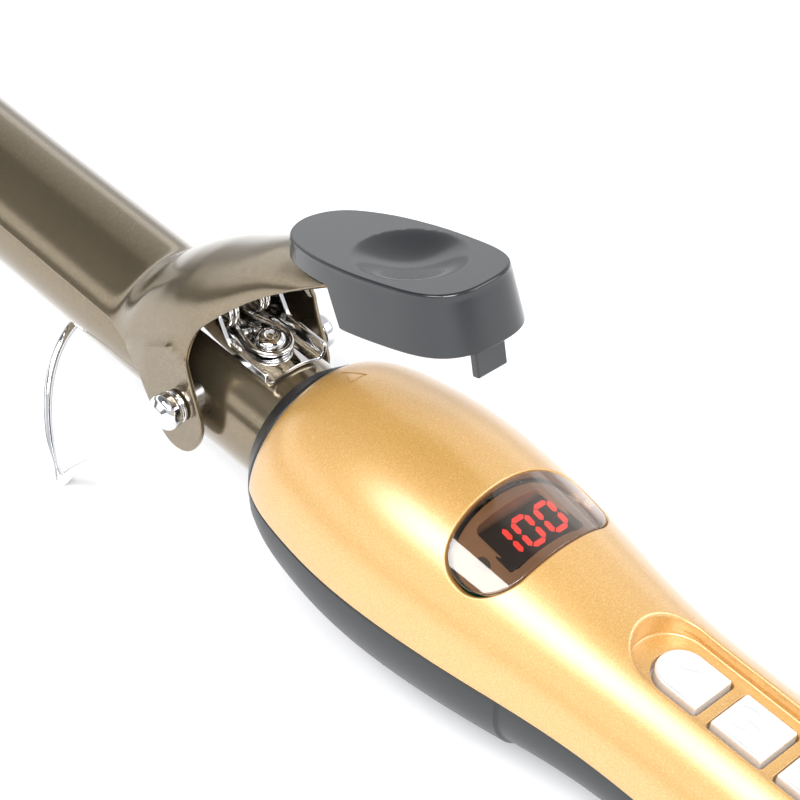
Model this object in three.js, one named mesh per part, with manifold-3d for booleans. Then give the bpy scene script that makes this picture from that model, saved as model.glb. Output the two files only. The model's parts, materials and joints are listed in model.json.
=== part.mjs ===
// Hair curling iron with a spring clamp, a wire stand and a digital handle. Millimetres.
//
// The iron is drawn about its barrel: +Y runs along the barrel to the tip, +Z is the clamp and
// display side, +X is the right-hand side, and Y = 0 is the clamp's pivot. The last lines turn the
// whole iron about X until it rests on its wire stand and its handle, with the table at Z = 0.

import * as THREE from "three";
import { mergeVertices } from "three/addons/utils/BufferGeometryUtils.js";
import Module from "manifold-3d";

// ---------------------------------------------------------------- driving dimensions

const GAP = 0.3; // clearance between neighbouring pieces
const ROUND = 36; // sides of the barrel's and the handle's circles

const BARREL_RADIUS = 12.5;
const BARREL_WALL = 1.2;
const BARREL_REAR = -25;
const BARREL_FRONT = 134;
const TIP_LENGTH = 18;
const TIP_SPIGOT = 8; // how far the tip reaches into the barrel

const PIVOT_Z = 2.8; // the pivot sits a little above the barrel's axis
const SHEET = 1.0; // thickness of the clamp's sheet metal
const SPOON_RADIUS = BARREL_RADIUS + GAP + SHEET;
const SPOON_TIP = 131;
const SPOON_EDGE_Z = 5.5;
const EAR_X = 15.9; // outer face of the clamp's ears
const TONGUE_END = -28.6;
const BUSH_RADIUS = 3;
const PIN_RADIUS = 1.5;
const PIN = { inner: 10.6, washerFrom: 16.2, washerTo: 16.8, washer: 3.2, head: 3.6, headLength: 2.6 };

const HANDLE_WALL = 2.2;
const HANDLE_NOSE = -22.2;
const NOSE_HOLE = 14; // radius of the hole the barrel passes through
const COLLAR_FRONT = -17.6; // where the collar's cone starts on the barrel
const COLLAR = { lip: 14.4, skirt: 17.1, flange: 14.6, step: -24.7, rear: -26.2 };
const HOLDER = { radius: 15, front: -26.5, rear: -36 };
const HANDLE_TAIL = -187.5;
const BULB_RISE = 0.5; // how far the bulb's centre line lies above the barrel's axis
const TAIL_RISE = 1.1; // and the grip's
const GRIP_STEP_Y = -86; // where the lower shell steps in
const GRIP_STEP = 0.6;
const GRIP_STEP_RADIUS = 19.55; // the lower shell's radius at that step
const PARTING_FRONT_Z = 0.4;
const PARTING_SLOPE = -0.0165; // the parting line climbs towards the tail

const WINDOW_FRONT = -64.3;
const WINDOW_REAR = -80.15;
const WINDOW_HALF = 16.3;

const LENS_INSET = 0.15; // how far the lens lies below the handle's skin
const LENS_THICKNESS = 1.5;

const RECESS_HALF = 7.3;
const RECESS_FRONT = -97.9;
const RECESS_REAR = -146.1;
const RECESS_FLOOR = 13.3;
const RECESS_SHEET = 1.6;
const BUTTON_HALF = 5.1; // half the width of a button's opening
const BUTTON_ROW_Y = -122; // middle of the middle button
const BUTTON_LENGTH = 11.4;
const END_BUTTON_NEAR = 7.8; // straight edge of an end button, from the middle of the row
const END_BUTTON_FAR = 19.9; // round end of an end button
const BUTTON_TOP = 14.6;
const BUTTON_FLANGE = 0.8;

const BOARD_Z = 6.9;
const BOARD_THICKNESS = 1.6;
const BOARD_HALF = 11;
const BOARD_FRONT = -61;
const BOARD_REAR = -148;

const LEVER_RISE = THREE.MathUtils.degToRad(18);
const LEVER_ORIGIN = [0, -20, 48.9]; // a point on the lever's top face
const LEVER_HEIGHT = 10.6;
const LEVER_LIP = 3.9; // thickness of the lever's front, above the tongue
const LEVER_LIP_END = -9.4; // where the lip's underside meets the skirt's front wall
const LEVER_SKIRT_Y = -12.6; // foot of the skirt's front wall
const LEVER_DRAFT = 1.2;
const LEVER_DISH = { semi: [13.5, 17.2, 7.8], centre: [0, -18.5, 6] };
const LEVER_TAB = { half: 3.35, rear: -35.9, front: -34.4, bottom: -16.6 };
const LEVER_SCREW_Y = -2; // along the lever's top face

const STAND_WIRE_RADIUS = 1;
const STAND_BALL_X = 18.2;
const STAND_FOOT = [19.3, 32.2, -39.5];
const STAND_ARCH_HEIGHT = 29.3;
const STAND_ARCH_RISE = THREE.MathUtils.degToRad(60);

const SPRING_WIRE_RADIUS = 0.55;
const SPRING_RADIUS = 3.3;
const SPRING_Y = 3;
const SPRING_Z = 17.9;
const SPRING_TURNS = 2.25;
const SPRING_COIL = { outer: -5.1, inner: -2 }; // x where the left coil starts and ends
const AXLE_RADIUS = 1.2;

const BRACKET_REAR = -13.9;
const BRACKET_FRONT = 7;
const BRACKET_HALF = 6.5;
const BRACKET_SHEET = 0.8;
const BRACKET_SCREW_Y = -6.5;

const BRACKET_FLANGE = { foot: 11.6, low: 15.2, shoulderY: -2.6, topHalf: 2, above: 2.4 };
const BRACKET_SCREW = { head: 3, headFrom: 14, headTo: 16.1, shank: 1.4, hole: 1.7, slot: 0.8 };

const SCREW_YS = { front: -48, rear: -154.5 };
const BOSS = { upper: 3.4, lower: 4.4, pilot: 1.5, clear: 1.7, counterbore: 3.3, step: -8 };

const SWIVEL = {
  bore: 4, // radius of the hole the cord passes through
  neck: 5.4,
  body: 8.4,
  shoulder: 10.8,
  rear: -194,
  front: -160.5,
  shoulderRear: -180.5,
  shoulderFront: -177.5,
};
const RETAINER = { radius: 14.2, rear: -177.2, front: -174.8 };
const SLIP_RING_YS = { live: -163, neutral: -168 };
const SLIP_RING = { radius: 7, half: 1.2 };

// ---------------------------------------------------------------- materials

const finish = (color, roughness, metalness) =>
  new THREE.MeshStandardMaterial({ color, roughness, metalness });

const pearlBronze = finish(0x6f675a, 0.35, 0.8);
const goldPaint = finish(0xe0b566, 0.35, 0.45);
const blackPlastic = finish(0x3c3f42, 0.4, 0);
const leverPlastic = finish(0x44484c, 0.3, 0);
const chrome = finish(0xd8d8d8, 0.1, 1);
const steel = finish(0xb0b0ac, 0.3, 1);
const aluminium = finish(0xc4c6c8, 0.4, 1);
const ceramic = finish(0xe8e2d2, 0.7, 0);
const brass = finish(0xc9a24a, 0.3, 1);
const boardGreen = finish(0x1f5a35, 0.6, 0);
const smokedLens = finish(0x4a3f36, 0.05, 0);
const frameBrown = finish(0x8a6f58, 0.6, 0);
const whiteSleeve = finish(0xe6e6e0, 0.6, 0);
const filmRed = finish(0x8c3a2a, 0.5, 0);

// ---------------------------------------------------------------- solids

const wasm = await Module();
wasm.setup();

/** Turns a closed geometry's faces outwards and keeps only its positions. */
function outward(geometry) {
  const bare = new THREE.BufferGeometry();
  bare.setAttribute("position", geometry.getAttribute("position").clone());
  if (geometry.index) bare.setIndex(geometry.index.clone());
  const merged = mergeVertices(bare, 1e-3);
  const { array } = merged.index;
  const at = (i) => new THREE.Vector3().fromBufferAttribute(merged.attributes.position, array[i]);
  let volume = 0;
  for (let i = 0; i < array.length; i += 3) volume += at(i).dot(at(i + 1).cross(at(i + 2)));
  if (volume < 0) {
    for (let i = 0; i < array.length; i += 3) {
      [array[i + 1], array[i + 2]] = [array[i + 2], array[i + 1]];
    }
  }
  return merged;
}

/** A closed geometry as a solid that can be cut and joined. */
function solid(geometry) {
  const closed = outward(geometry);
  return new wasm.Manifold(
    new wasm.Mesh({
      numProp: 3,
      vertProperties: closed.attributes.position.array,
      triVerts: new Uint32Array(closed.index.array),
    }),
  );
}

/** A solid back as a geometry with flat-shaded faces. */
function geometryOf(body) {
  const { vertProperties, triVerts } = body.getMesh();
  const indexed = new THREE.BufferGeometry();
  indexed.setAttribute("position", new THREE.BufferAttribute(new Float32Array(vertProperties), 3));
  indexed.setIndex(new THREE.BufferAttribute(new Uint32Array(triVerts), 1));
  const geometry = indexed.toNonIndexed();
  geometry.computeVertexNormals();
  return geometry;
}

const vec = (x, y, z) => new THREE.Vector3(x, y, z);
const X = vec(1, 0, 0);
const Y = vec(0, 1, 0);
const Z = vec(0, 0, 1);

/** A round body about the Y axis from [radius, y] points, moved to centre (x, z). */
function revolved(profile, segments = 32, x = 0, z = 0) {
  const points = profile.map(([r, y]) => new THREE.Vector2(r, y));
  return solid(new THREE.LatheGeometry(points, segments).translate(x, 0, z));
}

/** A closed ring profile: its first point is repeated at the end. */
const ring = (profile) => [...profile, profile[0]];

/** A round bar along X, Y or Z between two places on that axis. */
function rod(axis, radius, from, to, centre, segments = 16) {
  const bar = new THREE.CylinderGeometry(radius, radius, to - from, segments);
  bar.translate(0, (from + to) / 2, 0);
  if (axis === "x") bar.rotateZ(-Math.PI / 2);
  if (axis === "z") bar.rotateX(Math.PI / 2);
  return solid(bar.translate(...centre));
}

function box(x0, x1, y0, y1, z0, z1) {
  const block = new THREE.BoxGeometry(x1 - x0, y1 - y0, z1 - z0);
  return solid(block.translate((x0 + x1) / 2, (y0 + y1) / 2, (z0 + z1) / 2));
}

const shapeOf = (points) => new THREE.Shape(points.map(([a, b]) => new THREE.Vector2(a, b)));

/** An outline in plan (x, y), extruded from z0 up to z1. */
function upright(shape, z0, z1, curveSegments = 12) {
  const options = { depth: z1 - z0, bevelEnabled: false, curveSegments };
  return solid(new THREE.ExtrudeGeometry(shape, options).translate(0, 0, z0));
}

/** An outline in side view (y, z), extruded across from x0 to x1. */
function across(shape, x0, x1, curveSegments = 12) {
  const options = { depth: x1 - x0, bevelEnabled: false, curveSegments };
  const block = new THREE.ExtrudeGeometry(shape, options);
  return solid(block.applyMatrix4(new THREE.Matrix4().makeBasis(Y, Z, X)).translate(x0, 0, 0));
}

/** An outline in cross-section (x, z), extruded along the barrel from y0 to y1. */
function lengthwise(shape, y0, y1, curveSegments = 12) {
  const options = { depth: y1 - y0, bevelEnabled: false, curveSegments };
  const block = new THREE.ExtrudeGeometry(shape, options);
  const basis = new THREE.Matrix4().makeBasis(X, Z, Y.clone().negate());
  return solid(block.applyMatrix4(basis).translate(0, y1, 0));
}

/** A wire of round section along a smooth curve through the points. */
function wire(points, radius, steps, sides = 6) {
  const corners = [];
  for (let i = 0; i < sides; i += 1) {
    const turn = (2 * Math.PI * i) / sides;
    corners.push([radius * Math.cos(turn), radius * Math.sin(turn)]);
  }
  const extrudePath = new THREE.CatmullRomCurve3(points, false, "centripetal");
  return solid(new THREE.ExtrudeGeometry(shapeOf(corners), { steps, extrudePath }));
}

/** A skin over rings of points that all have the same count, closed by a fan at each end. */
function loft(rings) {
  const count = rings[0].length;
  const points = rings.flat();
  const middles = [rings[0], rings.at(-1)].map((loop) =>
    loop.reduce((sum, p) => sum.add(p), vec(0, 0, 0)).divideScalar(count),
  );
  const faces = [];
  for (let r = 0; r + 1 < rings.length; r += 1) {
    for (let i = 0; i < count; i += 1) {
      const a = r * count + i;
      const b = r * count + ((i + 1) % count);
      faces.push(a, b, a + count, b, b + count, a + count);
    }
  }
  const last = (rings.length - 1) * count;
  for (let i = 0; i < count; i += 1) {
    const next = (i + 1) % count;
    faces.push(points.length, next, i, points.length + 1, last + i, last + next);
  }
  const geometry = new THREE.BufferGeometry().setFromPoints([...points, ...middles]);
  geometry.setIndex(faces);
  return solid(geometry);
}

/** Adds one named piece to a group. */
function add(group, name, body, material) {
  const mesh = new THREE.Mesh(geometryOf(body), material.clone());
  mesh.name = name;
  group.add(mesh);
  return mesh;
}

// ---------------------------------------------------------------- heated barrel

function barrelTube() {
  const inner = BARREL_RADIUS - BARREL_WALL;
  const profile = ring([
    [inner, BARREL_REAR],
    [BARREL_RADIUS, BARREL_REAR],
    [BARREL_RADIUS, BARREL_FRONT],
    [inner, BARREL_FRONT],
  ]);
  return revolved(profile, ROUND)
    .subtract(rod("x", BUSH_RADIUS + GAP, -20, 20, [0, 0, PIVOT_Z]))
    .subtract(rod("z", BRACKET_SCREW.hole, 5, 20, [0, BRACKET_SCREW_Y, 0]));
}

function tipCap() {
  const spigot = BARREL_RADIUS - BARREL_WALL - GAP;
  const start = BARREL_FRONT + GAP;
  const end = BARREL_FRONT + TIP_LENGTH;
  return revolved(
    [
      [0, start - TIP_SPIGOT],
      [spigot, start - TIP_SPIGOT],
      [spigot, start],
      [BARREL_RADIUS, start],
      [BARREL_RADIUS, end - 8],
      [BARREL_RADIUS - 0.6, end - 3.5],
      [BARREL_RADIUS - 2.6, end - 0.8],
      [BARREL_RADIUS - 5.5, end],
      [0, end],
    ],
    28,
  );
}

const HEATER = { rear: 14, front: 118, radius: 10.9, slot: 1.6 };

/** One half of the aluminium core that presses the heating element to the barrel. */
function heaterHalf(side) {
  const flat = Math.asin(HEATER.slot / HEATER.radius);
  const half = new THREE.Shape().absarc(0, 0, HEATER.radius, flat, Math.PI - flat);
  const core = lengthwise(half, HEATER.rear, HEATER.front, 8);
  return side > 0 ? core : core.mirror([0, 0, 1]);
}

function heatingParts(group) {
  const thermistorHole = rod("y", 1.3, HEATER.rear - 1, HEATER.rear + 14, [0, 0, 6], 10);
  add(group, "heater_upper", heaterHalf(1).subtract(thermistorHole), aluminium);
  add(group, "heater_lower", heaterHalf(-1), aluminium);
  const element = box(-6.5, 6.5, HEATER.rear + 4, HEATER.front - 4, -1.3, 1.3);
  add(group, "heater_element", element, filmRed);
  add(group, "thermistor", rod("y", 0.9, HEATER.rear - 2, HEATER.rear + 10, [0, 0, 6], 8), ceramic);
  for (const [name, x] of Object.entries({ left: -4, right: 4 })) {
    const route = [
      vec(x, HEATER.rear + 3.5, 0),
      vec(x, -22, 0),
      vec(x * 1.9, -44, 2),
      vec(x * 1.9, -54, 6),
      vec(x * 1.9, BOARD_FRONT + GAP, BOARD_Z + BOARD_THICKNESS / 2),
    ];
    add(group, `heater_lead_${name}`, wire(route, 0.7, 20), whiteSleeve);
  }
}

function barrelGroup() {
  const group = new THREE.Group();
  add(group, "barrel_tube", barrelTube(), pearlBronze);
  add(group, "tip_cap", tipCap(), blackPlastic);
  heatingParts(group);
  const clear = BARREL_RADIUS + GAP;
  const holder = ring([
    [clear, HOLDER.rear],
    [HOLDER.radius, HOLDER.rear],
    [HOLDER.radius, HOLDER.front],
    [clear, HOLDER.front],
  ]);
  add(group, "barrel_holder", revolved(holder, 24), ceramic);
  const spigot = NOSE_HOLE - GAP;
  const collar = ring([
    [clear, COLLAR_FRONT],
    [spigot, COLLAR_FRONT],
    [COLLAR.lip, COLLAR_FRONT - 0.5],
    [COLLAR.skirt, HANDLE_NOSE + 0.8],
    [COLLAR.skirt, HANDLE_NOSE + GAP],
    [spigot, HANDLE_NOSE + GAP],
    [spigot, COLLAR.step],
    [COLLAR.flange, COLLAR.step],
    [COLLAR.flange, COLLAR.rear],
    [clear, COLLAR.rear],
  ]);
  add(group, "collar_ring", revolved(collar, ROUND), blackPlastic);
  return group;
}

// ---------------------------------------------------------------- handle shells

// [y, radius] of the handle from nose to tail.
const HANDLE_OUTLINE = [
  [HANDLE_NOSE, 17.4],
  [-22.5, 18.0],
  [-24, 19.0],
  [-26.5, 20.2],
  [-34.5, 22.1],
  [-41, 23.0],
  [-47.5, 23.4],
  [-54, 23.5],
  [-59.5, 23.3],
  [-67, 22.5],
  [-76, 21.3],
  [-87, 19.4],
  [-97, 17.9],
  [-108, 17.1],
  [-120, 16.9],
  [-165, 17.0],
  [-176, 16.8],
  [-181.5, 15.6],
  [-185.3, 13.2],
  [HANDLE_TAIL, 10.5],
];

// [y, radius] of the hollow inside it.
const CAVITY_OUTLINE = [
  [-24.4, 15.2],
  [-25.4, 16.9],
  [-28, 18.0],
  [-34.5, 19.9],
  [-47.5, 21.2],
  [-59.5, 21.1],
  [-76, 19.1],
  [-87, 17.2],
  [-97, 15.7],
  [-120, 14.7],
  [-176, 14.7],
  [-182, 12.5],
];

/** How far the handle's centre line is above the barrel's axis. */
function handleRise(y) {
  const { smoothstep } = THREE.MathUtils;
  const bulb = BULB_RISE * smoothstep(-y, 18, 28);
  return bulb + (TAIL_RISE - BULB_RISE) * smoothstep(-y, 85, 120);
}

/** A round body that follows the handle's centre line. */
function handleBody(outline, inset, segments) {
  const rings = outline.map(([y, radius]) => {
    const loop = [];
    for (let i = 0; i < segments; i += 1) {
      const turn = (2 * Math.PI * i) / segments;
      const r = radius - inset;
      loop.push(vec(r * Math.sin(turn), y, handleRise(y) + r * Math.cos(turn)));
    }
    return loop;
  });
  return loft(rings);
}

const partingZ = (y) => PARTING_FRONT_Z + PARTING_SLOPE * (y - HANDLE_NOSE);

/** Everything above (side 1) or below (side -1) the parting line, less half a gap. */
function besideParting(side) {
  const shift = (side * GAP) / 2;
  const far = side * 60;
  return across(
    shapeOf([
      [0, partingZ(0) + shift],
      [-200, partingZ(-200) + shift],
      [-200, far],
      [0, far],
    ]),
    -40,
    40,
  );
}

/** The window's outline in plan: a round front and a nearly straight rear edge. */
function windowShape(inset) {
  const half = WINDOW_HALF - inset;
  const front = WINDOW_FRONT - inset;
  const rear = WINDOW_REAR + inset;
  const side = (front + rear) / 2 + 0.2;
  const shape = new THREE.Shape();
  shape.moveTo(0, front);
  shape.bezierCurveTo(-half * 0.86, front, -half, side + 5.5, -half, side);
  shape.bezierCurveTo(-half, rear + 4.2, -half * 0.84, rear + 1.2, -half * 0.6, rear + 0.35);
  shape.quadraticCurveTo(-half * 0.3, rear, 0, rear);
  shape.quadraticCurveTo(half * 0.3, rear, half * 0.6, rear + 0.35);
  shape.bezierCurveTo(half * 0.84, rear + 1.2, half, rear + 4.2, half, side);
  shape.bezierCurveTo(half, side + 5.5, half * 0.86, front, 0, front);
  return shape;
}

/** A slot with round ends in plan. */
function slotShape(half, front, rear) {
  const shape = new THREE.Shape();
  shape.absarc(0, front - half, half, 0, Math.PI);
  shape.absarc(0, rear + half, half, Math.PI, 2 * Math.PI);
  return shape;
}

/** A button's outline: an end button has one round end, the middle one is square. */
function buttonShape(place, grow) {
  const half = BUTTON_HALF + grow;
  if (place === 0) {
    const reach = BUTTON_LENGTH / 2 + grow;
    return shapeOf([
      [-half, BUTTON_ROW_Y - reach],
      [half, BUTTON_ROW_Y - reach],
      [half, BUTTON_ROW_Y + reach],
      [-half, BUTTON_ROW_Y + reach],
    ]);
  }
  const near = BUTTON_ROW_Y + place * (END_BUTTON_NEAR - grow);
  const centre = BUTTON_ROW_Y + place * (END_BUTTON_FAR - BUTTON_HALF);
  const shape = new THREE.Shape();
  shape.moveTo(place * half, near);
  shape.lineTo(place * half, centre);
  const turn = place > 0 ? 0 : Math.PI;
  shape.absarc(0, centre, half, turn, turn + Math.PI);
  shape.lineTo(-place * half, near);
  return shape;
}

const BUTTON_PLACES = { plus: 1, power: 0, minus: -1 };

/** The pocket that holds the buttons: its walls and floor, then the hollow. */
function withButtonPocket(shell, outer) {
  const side = RECESS_SHEET;
  const around = slotShape(RECESS_HALF + side, RECESS_FRONT + side, RECESS_REAR - side);
  const wall = upright(around, RECESS_FLOOR - RECESS_SHEET, 25, 8);
  const hollow = upright(slotShape(RECESS_HALF, RECESS_FRONT, RECESS_REAR), RECESS_FLOOR, 30, 8);
  let pocket = shell.add(wall.intersect(outer)).subtract(hollow);
  for (const place of Object.values(BUTTON_PLACES)) {
    pocket = pocket.subtract(upright(buttonShape(place, 0), 5, 20, 6));
  }
  return pocket;
}

const noseHole = () => rod("y", NOSE_HOLE, -30, 0, [0, 0, 0], ROUND);
const tailHole = () => rod("y", SWIVEL.body + 0.5, -200, -175, [0, 0, TAIL_RISE], 20);

function topShell(outer, cavity) {
  let shell = outer.subtract(cavity).subtract(noseHole()).subtract(tailHole());
  shell = withButtonPocket(shell, outer);
  shell = shell.subtract(upright(windowShape(0), 8, 30, 8));
  for (const y of Object.values(SCREW_YS)) {
    const boss = rod("z", BOSS.upper, 2, 22, [0, y, 0], 12).intersect(outer);
    shell = shell.add(boss).subtract(rod("z", BOSS.pilot, -5, 10, [0, y, 0], 12));
  }
  return shell.intersect(besideParting(1));
}

/** The lower shell's outline: it steps in where the fingers close round the grip. */
function steppedOutline() {
  const before = HANDLE_OUTLINE.filter(([y]) => y > GRIP_STEP_Y);
  const behind = HANDLE_OUTLINE.filter(([y]) => y < GRIP_STEP_Y);
  return [
    ...before,
    [GRIP_STEP_Y, GRIP_STEP_RADIUS],
    [GRIP_STEP_Y - 0.4, GRIP_STEP_RADIUS - GRIP_STEP],
    ...behind.map(([y, radius]) => [y, radius - GRIP_STEP]),
  ];
}

function bottomShell(cavity) {
  const outer = handleBody(steppedOutline(), 0, ROUND);
  let shell = outer.subtract(cavity).subtract(noseHole()).subtract(tailHole());
  for (const y of Object.values(SCREW_YS)) {
    const boss = rod("z", BOSS.lower, -22, 0.5, [0, y, 0], 16).intersect(outer);
    const headBore = rod("z", BOSS.counterbore, -30, BOSS.step, [0, y, 0], 16);
    const shankBore = rod("z", BOSS.clear, -30, 5, [0, y, 0], 16);
    shell = shell.add(boss).subtract(headBore).subtract(shankBore);
  }
  return shell.intersect(besideParting(-1));
}

function shellScrew(y) {
  const top = BOSS.step - GAP;
  const head = rod("z", BOSS.counterbore - 0.4, top - 2.3, top, [0, y, 0], 16);
  return head.add(rod("z", BOSS.pilot - GAP, top - 0.1, 8.5, [0, y, 0], 10));
}

function handleGroup() {
  const group = new THREE.Group();
  const outer = handleBody(HANDLE_OUTLINE, 0, ROUND);
  const cavity = handleBody(CAVITY_OUTLINE, 0, 24);
  add(group, "handle_top_shell", topShell(outer, cavity), goldPaint);
  add(group, "handle_bottom_shell", bottomShell(cavity), blackPlastic);
  for (const [name, y] of Object.entries(SCREW_YS)) {
    add(group, `shell_screw_${name}`, shellScrew(y), steel);
  }
  const lensOuter = handleBody(HANDLE_OUTLINE, LENS_INSET, ROUND);
  const lensInner = handleBody(HANDLE_OUTLINE, LENS_INSET + LENS_THICKNESS, ROUND);
  const lens = lensOuter.subtract(lensInner).intersect(upright(windowShape(GAP), 5, 30, 8));
  add(group, "window_lens", lens, smokedLens);
  return group;
}

// ---------------------------------------------------------------- display, buttons and board

const MODULE = { half: 8.7, front: -67.2, rear: -76.6, top: 17.8 };
const DISPLAY_FRAME = { inset: 2.4, foot: 13.2 };
const SWITCH = { half: 3, height: 1.1, plunger: 1.7 };
const SWITCH_PITCH = 13.4;

function displayFrame() {
  const opening = box(
    -MODULE.half - GAP,
    MODULE.half + GAP,
    MODULE.rear - GAP,
    MODULE.front + GAP,
    5,
    30,
  );
  const { inset, foot } = DISPLAY_FRAME;
  const within = upright(windowShape(0.5), foot, 30, 6);
  return handleBody(HANDLE_OUTLINE, inset, 32).intersect(within).subtract(opening);
}

function button(place) {
  const underside = RECESS_FLOOR - RECESS_SHEET - GAP;
  const cap = upright(buttonShape(place, -0.35), underside - 0.3, BUTTON_TOP, 6);
  return cap.add(upright(buttonShape(place, BUTTON_FLANGE), underside - 0.6, underside, 6));
}

function tactSwitch(y) {
  const base = BOARD_Z + BOARD_THICKNESS + GAP;
  const { half, height, plunger } = SWITCH;
  const top = base + height;
  const body = box(-half, half, y - half, y + half, base, top);
  return body.add(rod("z", plunger, top - 0.1, top + 0.3, [0, y, 0], 12));
}

function electronicsGroup() {
  const group = new THREE.Group();
  const boardTop = BOARD_Z + BOARD_THICKNESS;
  const board = box(-BOARD_HALF, BOARD_HALF, BOARD_REAR, BOARD_FRONT, BOARD_Z, boardTop);
  add(group, "circuit_board", board, boardGreen);
  add(group, "display_frame", displayFrame(), frameBrown);
  const led = box(-MODULE.half, MODULE.half, MODULE.rear, MODULE.front, boardTop + GAP, MODULE.top);
  add(group, "display_module", led, blackPlastic);
  for (const [name, place] of Object.entries(BUTTON_PLACES)) {
    const y = BUTTON_ROW_Y + place * SWITCH_PITCH;
    add(group, `button_${name}`, button(place), chrome);
    add(group, `tact_switch_${name}`, tactSwitch(y), blackPlastic);
  }
  const under = BOARD_Z - GAP;
  add(group, "dropper_capacitor", box(-8.5, -1, -96, -80, under - 10, under), filmRed);
  add(group, "triac", box(2, 7, -94, -84, under - 4.5, under), blackPlastic);
  return group;
}

// ---------------------------------------------------------------- cord swivel

function swivelGland() {
  const { bore, neck, body, shoulder, rear, front, shoulderRear, shoulderFront } = SWIVEL;
  const spindle = ring([
    [bore, rear],
    [body - 1, rear],
    [body, rear + 1.5],
    [body, shoulderRear],
    [shoulder, shoulderRear],
    [shoulder, shoulderFront],
    [neck, shoulderFront],
    [neck, front],
    [bore, front],
  ]);
  return revolved(spindle, 24, 0, TAIL_RISE);
}

function swivelGroup() {
  const group = new THREE.Group();
  add(group, "swivel_gland", swivelGland(), blackPlastic);
  const inner = SWIVEL.neck + GAP;
  const retainer = ring([
    [inner, RETAINER.rear],
    [RETAINER.radius, RETAINER.rear],
    [RETAINER.radius, RETAINER.front],
    [inner, RETAINER.front],
  ]);
  add(group, "swivel_retainer", revolved(retainer, 24, 0, TAIL_RISE), blackPlastic);
  for (const [name, y] of Object.entries(SLIP_RING_YS)) {
    const band = ring([
      [inner, y - SLIP_RING.half],
      [SLIP_RING.radius, y - SLIP_RING.half],
      [SLIP_RING.radius, y + SLIP_RING.half],
      [inner, y + SLIP_RING.half],
    ]);
    add(group, `slip_ring_${name}`, revolved(band, 20, 0, TAIL_RISE), brass);
    const side = name === "live" ? -1 : 1;
    const blade = box(-1.2, 1.2, y - 1, y + 1, 0, 0.6).translate([side * 4.5, 0, TAIL_RISE + 7.2]);
    add(group, `contact_${name}`, blade, brass);
    const route = [
      vec(side * 4.5, y + 1.6, TAIL_RISE + 7.5),
      vec(side * 7, -156, TAIL_RISE + 7.3),
      vec(side * 7, BOARD_REAR - GAP, BOARD_Z + BOARD_THICKNESS / 2),
    ];
    add(group, `supply_lead_${name}`, wire(route, 0.7, 8), whiteSleeve);
  }
  return group;
}

// ---------------------------------------------------------------- clamp

// Cross-sections of the clamp from the spoon's tip to the tongue's end. The top is a half ellipse
// from the shoulders up to the crest; below the shoulders the walls run down to the ears.
const CLAMP_SECTIONS = [
  { y: SPOON_TIP, crest: SPOON_RADIUS, top: SPOON_RADIUS, low: SPOON_RADIUS, shoulder: 0 },
  { y: 70, crest: SPOON_RADIUS, top: SPOON_RADIUS, low: SPOON_RADIUS, shoulder: 0 },
  { y: 24.5, crest: 14.1, top: 14.1, low: 14.1, shoulder: 0 },
  { y: 22.6, crest: 14.8, top: 14.1, low: 14.1, shoulder: 0.5 },
  { y: 20, crest: 17.4, top: 14.2, low: 14.4, shoulder: 3 },
  { y: 16, crest: 21.9, top: 14.4, low: 15.2, shoulder: 8 },
  { y: 10.5, crest: 26.6, top: 14.6, low: EAR_X, shoulder: 12.5 },
  { y: 5.4, crest: 30.3, top: 14.7, low: EAR_X, shoulder: 16 },
  { y: 0, crest: 33.7, top: 14.4, low: EAR_X, shoulder: 19.5 },
  { y: -5, crest: 36.9, top: 13.0, low: EAR_X, shoulder: 24.5 },
  { y: -9, crest: 39.3, top: 11.6, low: EAR_X, shoulder: 29 },
  { y: -14, crest: 41.7, top: 10.2, low: EAR_X, shoulder: 34.5 },
  { y: -20, crest: 44.3, top: 9.4, low: EAR_X, shoulder: 38.3 },
  { y: TONGUE_END, crest: 47.6, top: 8.8, low: EAR_X, shoulder: 42.5 },
];

/** One cross-section of the clamp's outside, or of its inside when inset by the sheet. */
function clampRing(section, slope, inset) {
  const steps = 7;
  const crest = section.crest - inset * Math.hypot(1, slope);
  const top = section.top - inset;
  const low = section.low - inset;
  const wallZ = Math.min(section.shoulder - 3, 14);
  const half = [
    [low, -12],
    [low, wallZ],
  ];
  for (let i = 0; i <= steps; i += 1) {
    const turn = (Math.PI / 2) * (i / steps);
    half.push([
      top * Math.cos(turn),
      section.shoulder + (crest - section.shoulder) * Math.sin(turn),
    ]);
  }
  const mirrored = half.slice(0, -1).reverse();
  return [
    ...half.map(([x, z]) => vec(x, section.y, z)),
    ...mirrored.map(([x, z]) => vec(-x, section.y, z)),
  ];
}

function clampTunnel(inset) {
  const last = CLAMP_SECTIONS.length - 1;
  const rings = CLAMP_SECTIONS.map((section, i) => {
    const before = CLAMP_SECTIONS[Math.max(i - 1, 0)];
    const after = CLAMP_SECTIONS[Math.min(i + 1, last)];
    const slope = (after.crest - before.crest) / (after.y - before.y);
    return clampRing(section, slope, inset);
  });
  if (inset > 0) {
    for (const p of rings[0]) p.y += 1;
    for (const p of rings[last]) p.y -= 1;
  }
  return loft(rings);
}

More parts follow.
